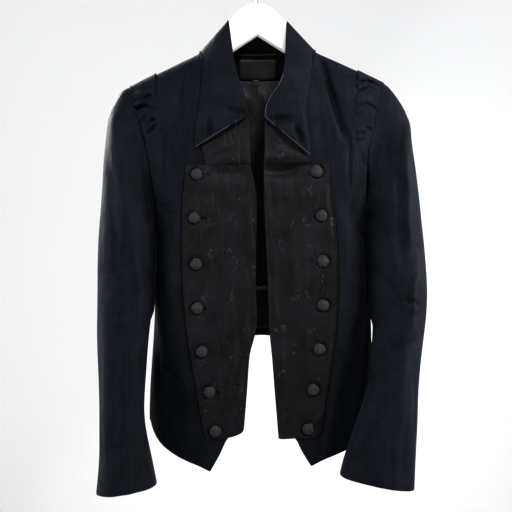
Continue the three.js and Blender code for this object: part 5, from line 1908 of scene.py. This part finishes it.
@dataclass
class Studio:
    """A pale floor and backdrop, soft light, and a camera at the height of the jacket's middle."""

    finishes: Finishes
    camera_place: Point = (-0.006, -1.545, -0.4525)
    camera_roll: float = 0.7
    lens: float = 70.3
    sensor: float = 36.0
    stage_size: float = 14.0
    floor_z: float = -1.85
    backdrop_y: float = 3.0
    surroundings: float = 0.38
    middle: Point = (0.0, 0.0, -0.42)
    # Each lamp's name, place, side in metres, power in watts and colour
    lamps: ClassVar[tuple[tuple[str, Point, float, float, Colour], ...]] = (
        ("key", (0.84, -0.26, -0.28), 0.5, 10.5, (1.0, 0.99, 0.97)),
        ("fill", (-0.92, -0.30, -0.34), 0.5, 6.5, (0.95, 0.97, 1.0)),
        ("top", (0.50, -1.10, 0.80), 0.26, 20.0, (1.0, 1.0, 1.0)),
        ("side", (-0.75, -1.35, 0.20), 0.4, 7.5, (1.0, 1.0, 1.0)),
        ("rear", (-1.2, 1.4, 0.6), 0.9, 85.0, (1.0, 1.0, 1.0)),
    )
    backdrop_lamps: ClassVar[tuple[tuple[str, Point, float, float, Colour], ...]] = (
        ("backdrop_lamp_0", (-1.6, 1.3, 1.3), 1.2, 4.5, (1.0, 1.0, 1.0)),
        ("backdrop_lamp_1", (1.6, 1.3, 1.3), 1.2, 4.5, (1.0, 1.0, 1.0)),
    )

    def build_stage(self) -> None:
        """Builds the floor and the backdrop."""
        for name, place, turn in (("floor", (0.0, 0.0, self.floor_z), 0.0),
                                  ("backdrop", (0.0, self.backdrop_y, 0.0), SQUARE_TURN)):
            bm = bmesh.new()
            bmesh.ops.create_grid(bm, x_segments=4, y_segments=4, size=self.stage_size / 2)
            matrix = Matrix.Translation(place) @ Matrix.Rotation(turn, 4, "X")
            bmesh.ops.transform(bm, matrix=matrix, verts=bm.verts)
            plane = object_from(bm, name)
            dress(plane, self.finishes.paint)

    @staticmethod
    def add_light(name: str, place: Point, size: float, power: float, colour: Colour,
                  target: Point) -> None:
        """Adds a square lamp.

        Args:
            name: The lamp's name.
            place: Where it stands, in metres.
            size: Its side in metres.
            power: Its power in watts.
            colour: Its colour.
            target: What it points at.
        """
        data = bpy.data.lights.new(name, "AREA")
        data.shape = "SQUARE"
        data.size = size
        data.energy = power
        data.color = colour
        lamp = bpy.data.objects.new(name, data)
        lamp.location = place
        aim = Vector(target) - Vector(place)
        lamp.rotation_euler = aim.to_track_quat("-Z", "Y").to_euler()
        bpy.context.scene.collection.objects.link(lamp)

    def build_lights(self) -> None:
        """Adds the lamps and the pale surroundings."""
        for lamp in self.lamps:
            self.add_light(*lamp, self.middle)
        for lamp in self.backdrop_lamps:
            across = lamp[1][0]
            self.add_light(*lamp, (across * 0.4, self.backdrop_y, -0.6))
        world = bpy.data.worlds.new("surroundings")
        world.use_nodes = True
        background = world.node_tree.nodes["Background"]
        background.inputs["Color"].default_value = (0.97, 0.98, 1.0, 1.0)
        background.inputs["Strength"].default_value = self.surroundings
        bpy.context.scene.world = world

    def build_camera(self) -> None:
        """Adds the camera."""
        data = bpy.data.cameras.new("camera")
        data.lens = self.lens
        data.sensor_width = self.sensor
        camera = bpy.data.objects.new("camera", data)
        roll = Matrix.Rotation(math.radians(self.camera_roll), 4, "Y")
        upright = Matrix.Rotation(SQUARE_TURN, 4, "X")
        camera.matrix_world = Matrix.Translation(self.camera_place) @ roll @ upright
        bpy.context.scene.collection.objects.link(camera)
        bpy.context.scene.camera = camera

    def build(self) -> None:
        """Builds the stage, the lights and the camera."""
        self.build_stage()
        self.build_lights()
        self.build_camera()
        view = bpy.context.scene.view_settings
        view.view_transform = "Standard"
        view.look = "High Contrast"


def main() -> None:
    """Builds every sub-assembly in order."""
    logging.basicConfig(level=logging.INFO, format="%(name)s: %(message)s")
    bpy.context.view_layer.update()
    finishes = Finishes()
    Studio(finishes).build()
    Hanger(finishes).build()
    Body(finishes).build()
    Sleeve(Side.RIGHT, finishes,
           {"upper": (0.200, 0.640), "under": (0.150, 0.590)},
           {"upper": 0.0840, "under": 0.0640},
           ((-395, 0), (-412, 5.5), (-535, 5.5), (-548, 2), (-600, 1), (-700, 0))).build()
    Sleeve(Side.LEFT, finishes,
           {"upper": (0.180, 0.640), "under": (0.190, 0.590)},
           {"upper": 0.0672, "under": 0.0828},
           ((-395, 0), (-412, 7), (-545, 9), (-560, 5), (-582, 5), (-598, 6.5), (-620, 3),
            (-640, 0))).build()
    Inside(finishes).build()
    Collar(finishes).build()
    plastrons = Plastrons(finishes)
    buttons = Buttons(finishes)
    holes = Buttonholes(finishes)
    for side in Side:
        cloth = plastrons.build(side)
        buttons.build(side, cloth)
        holes.build(side, cloth)


if __name__ == "__main__":
    main()
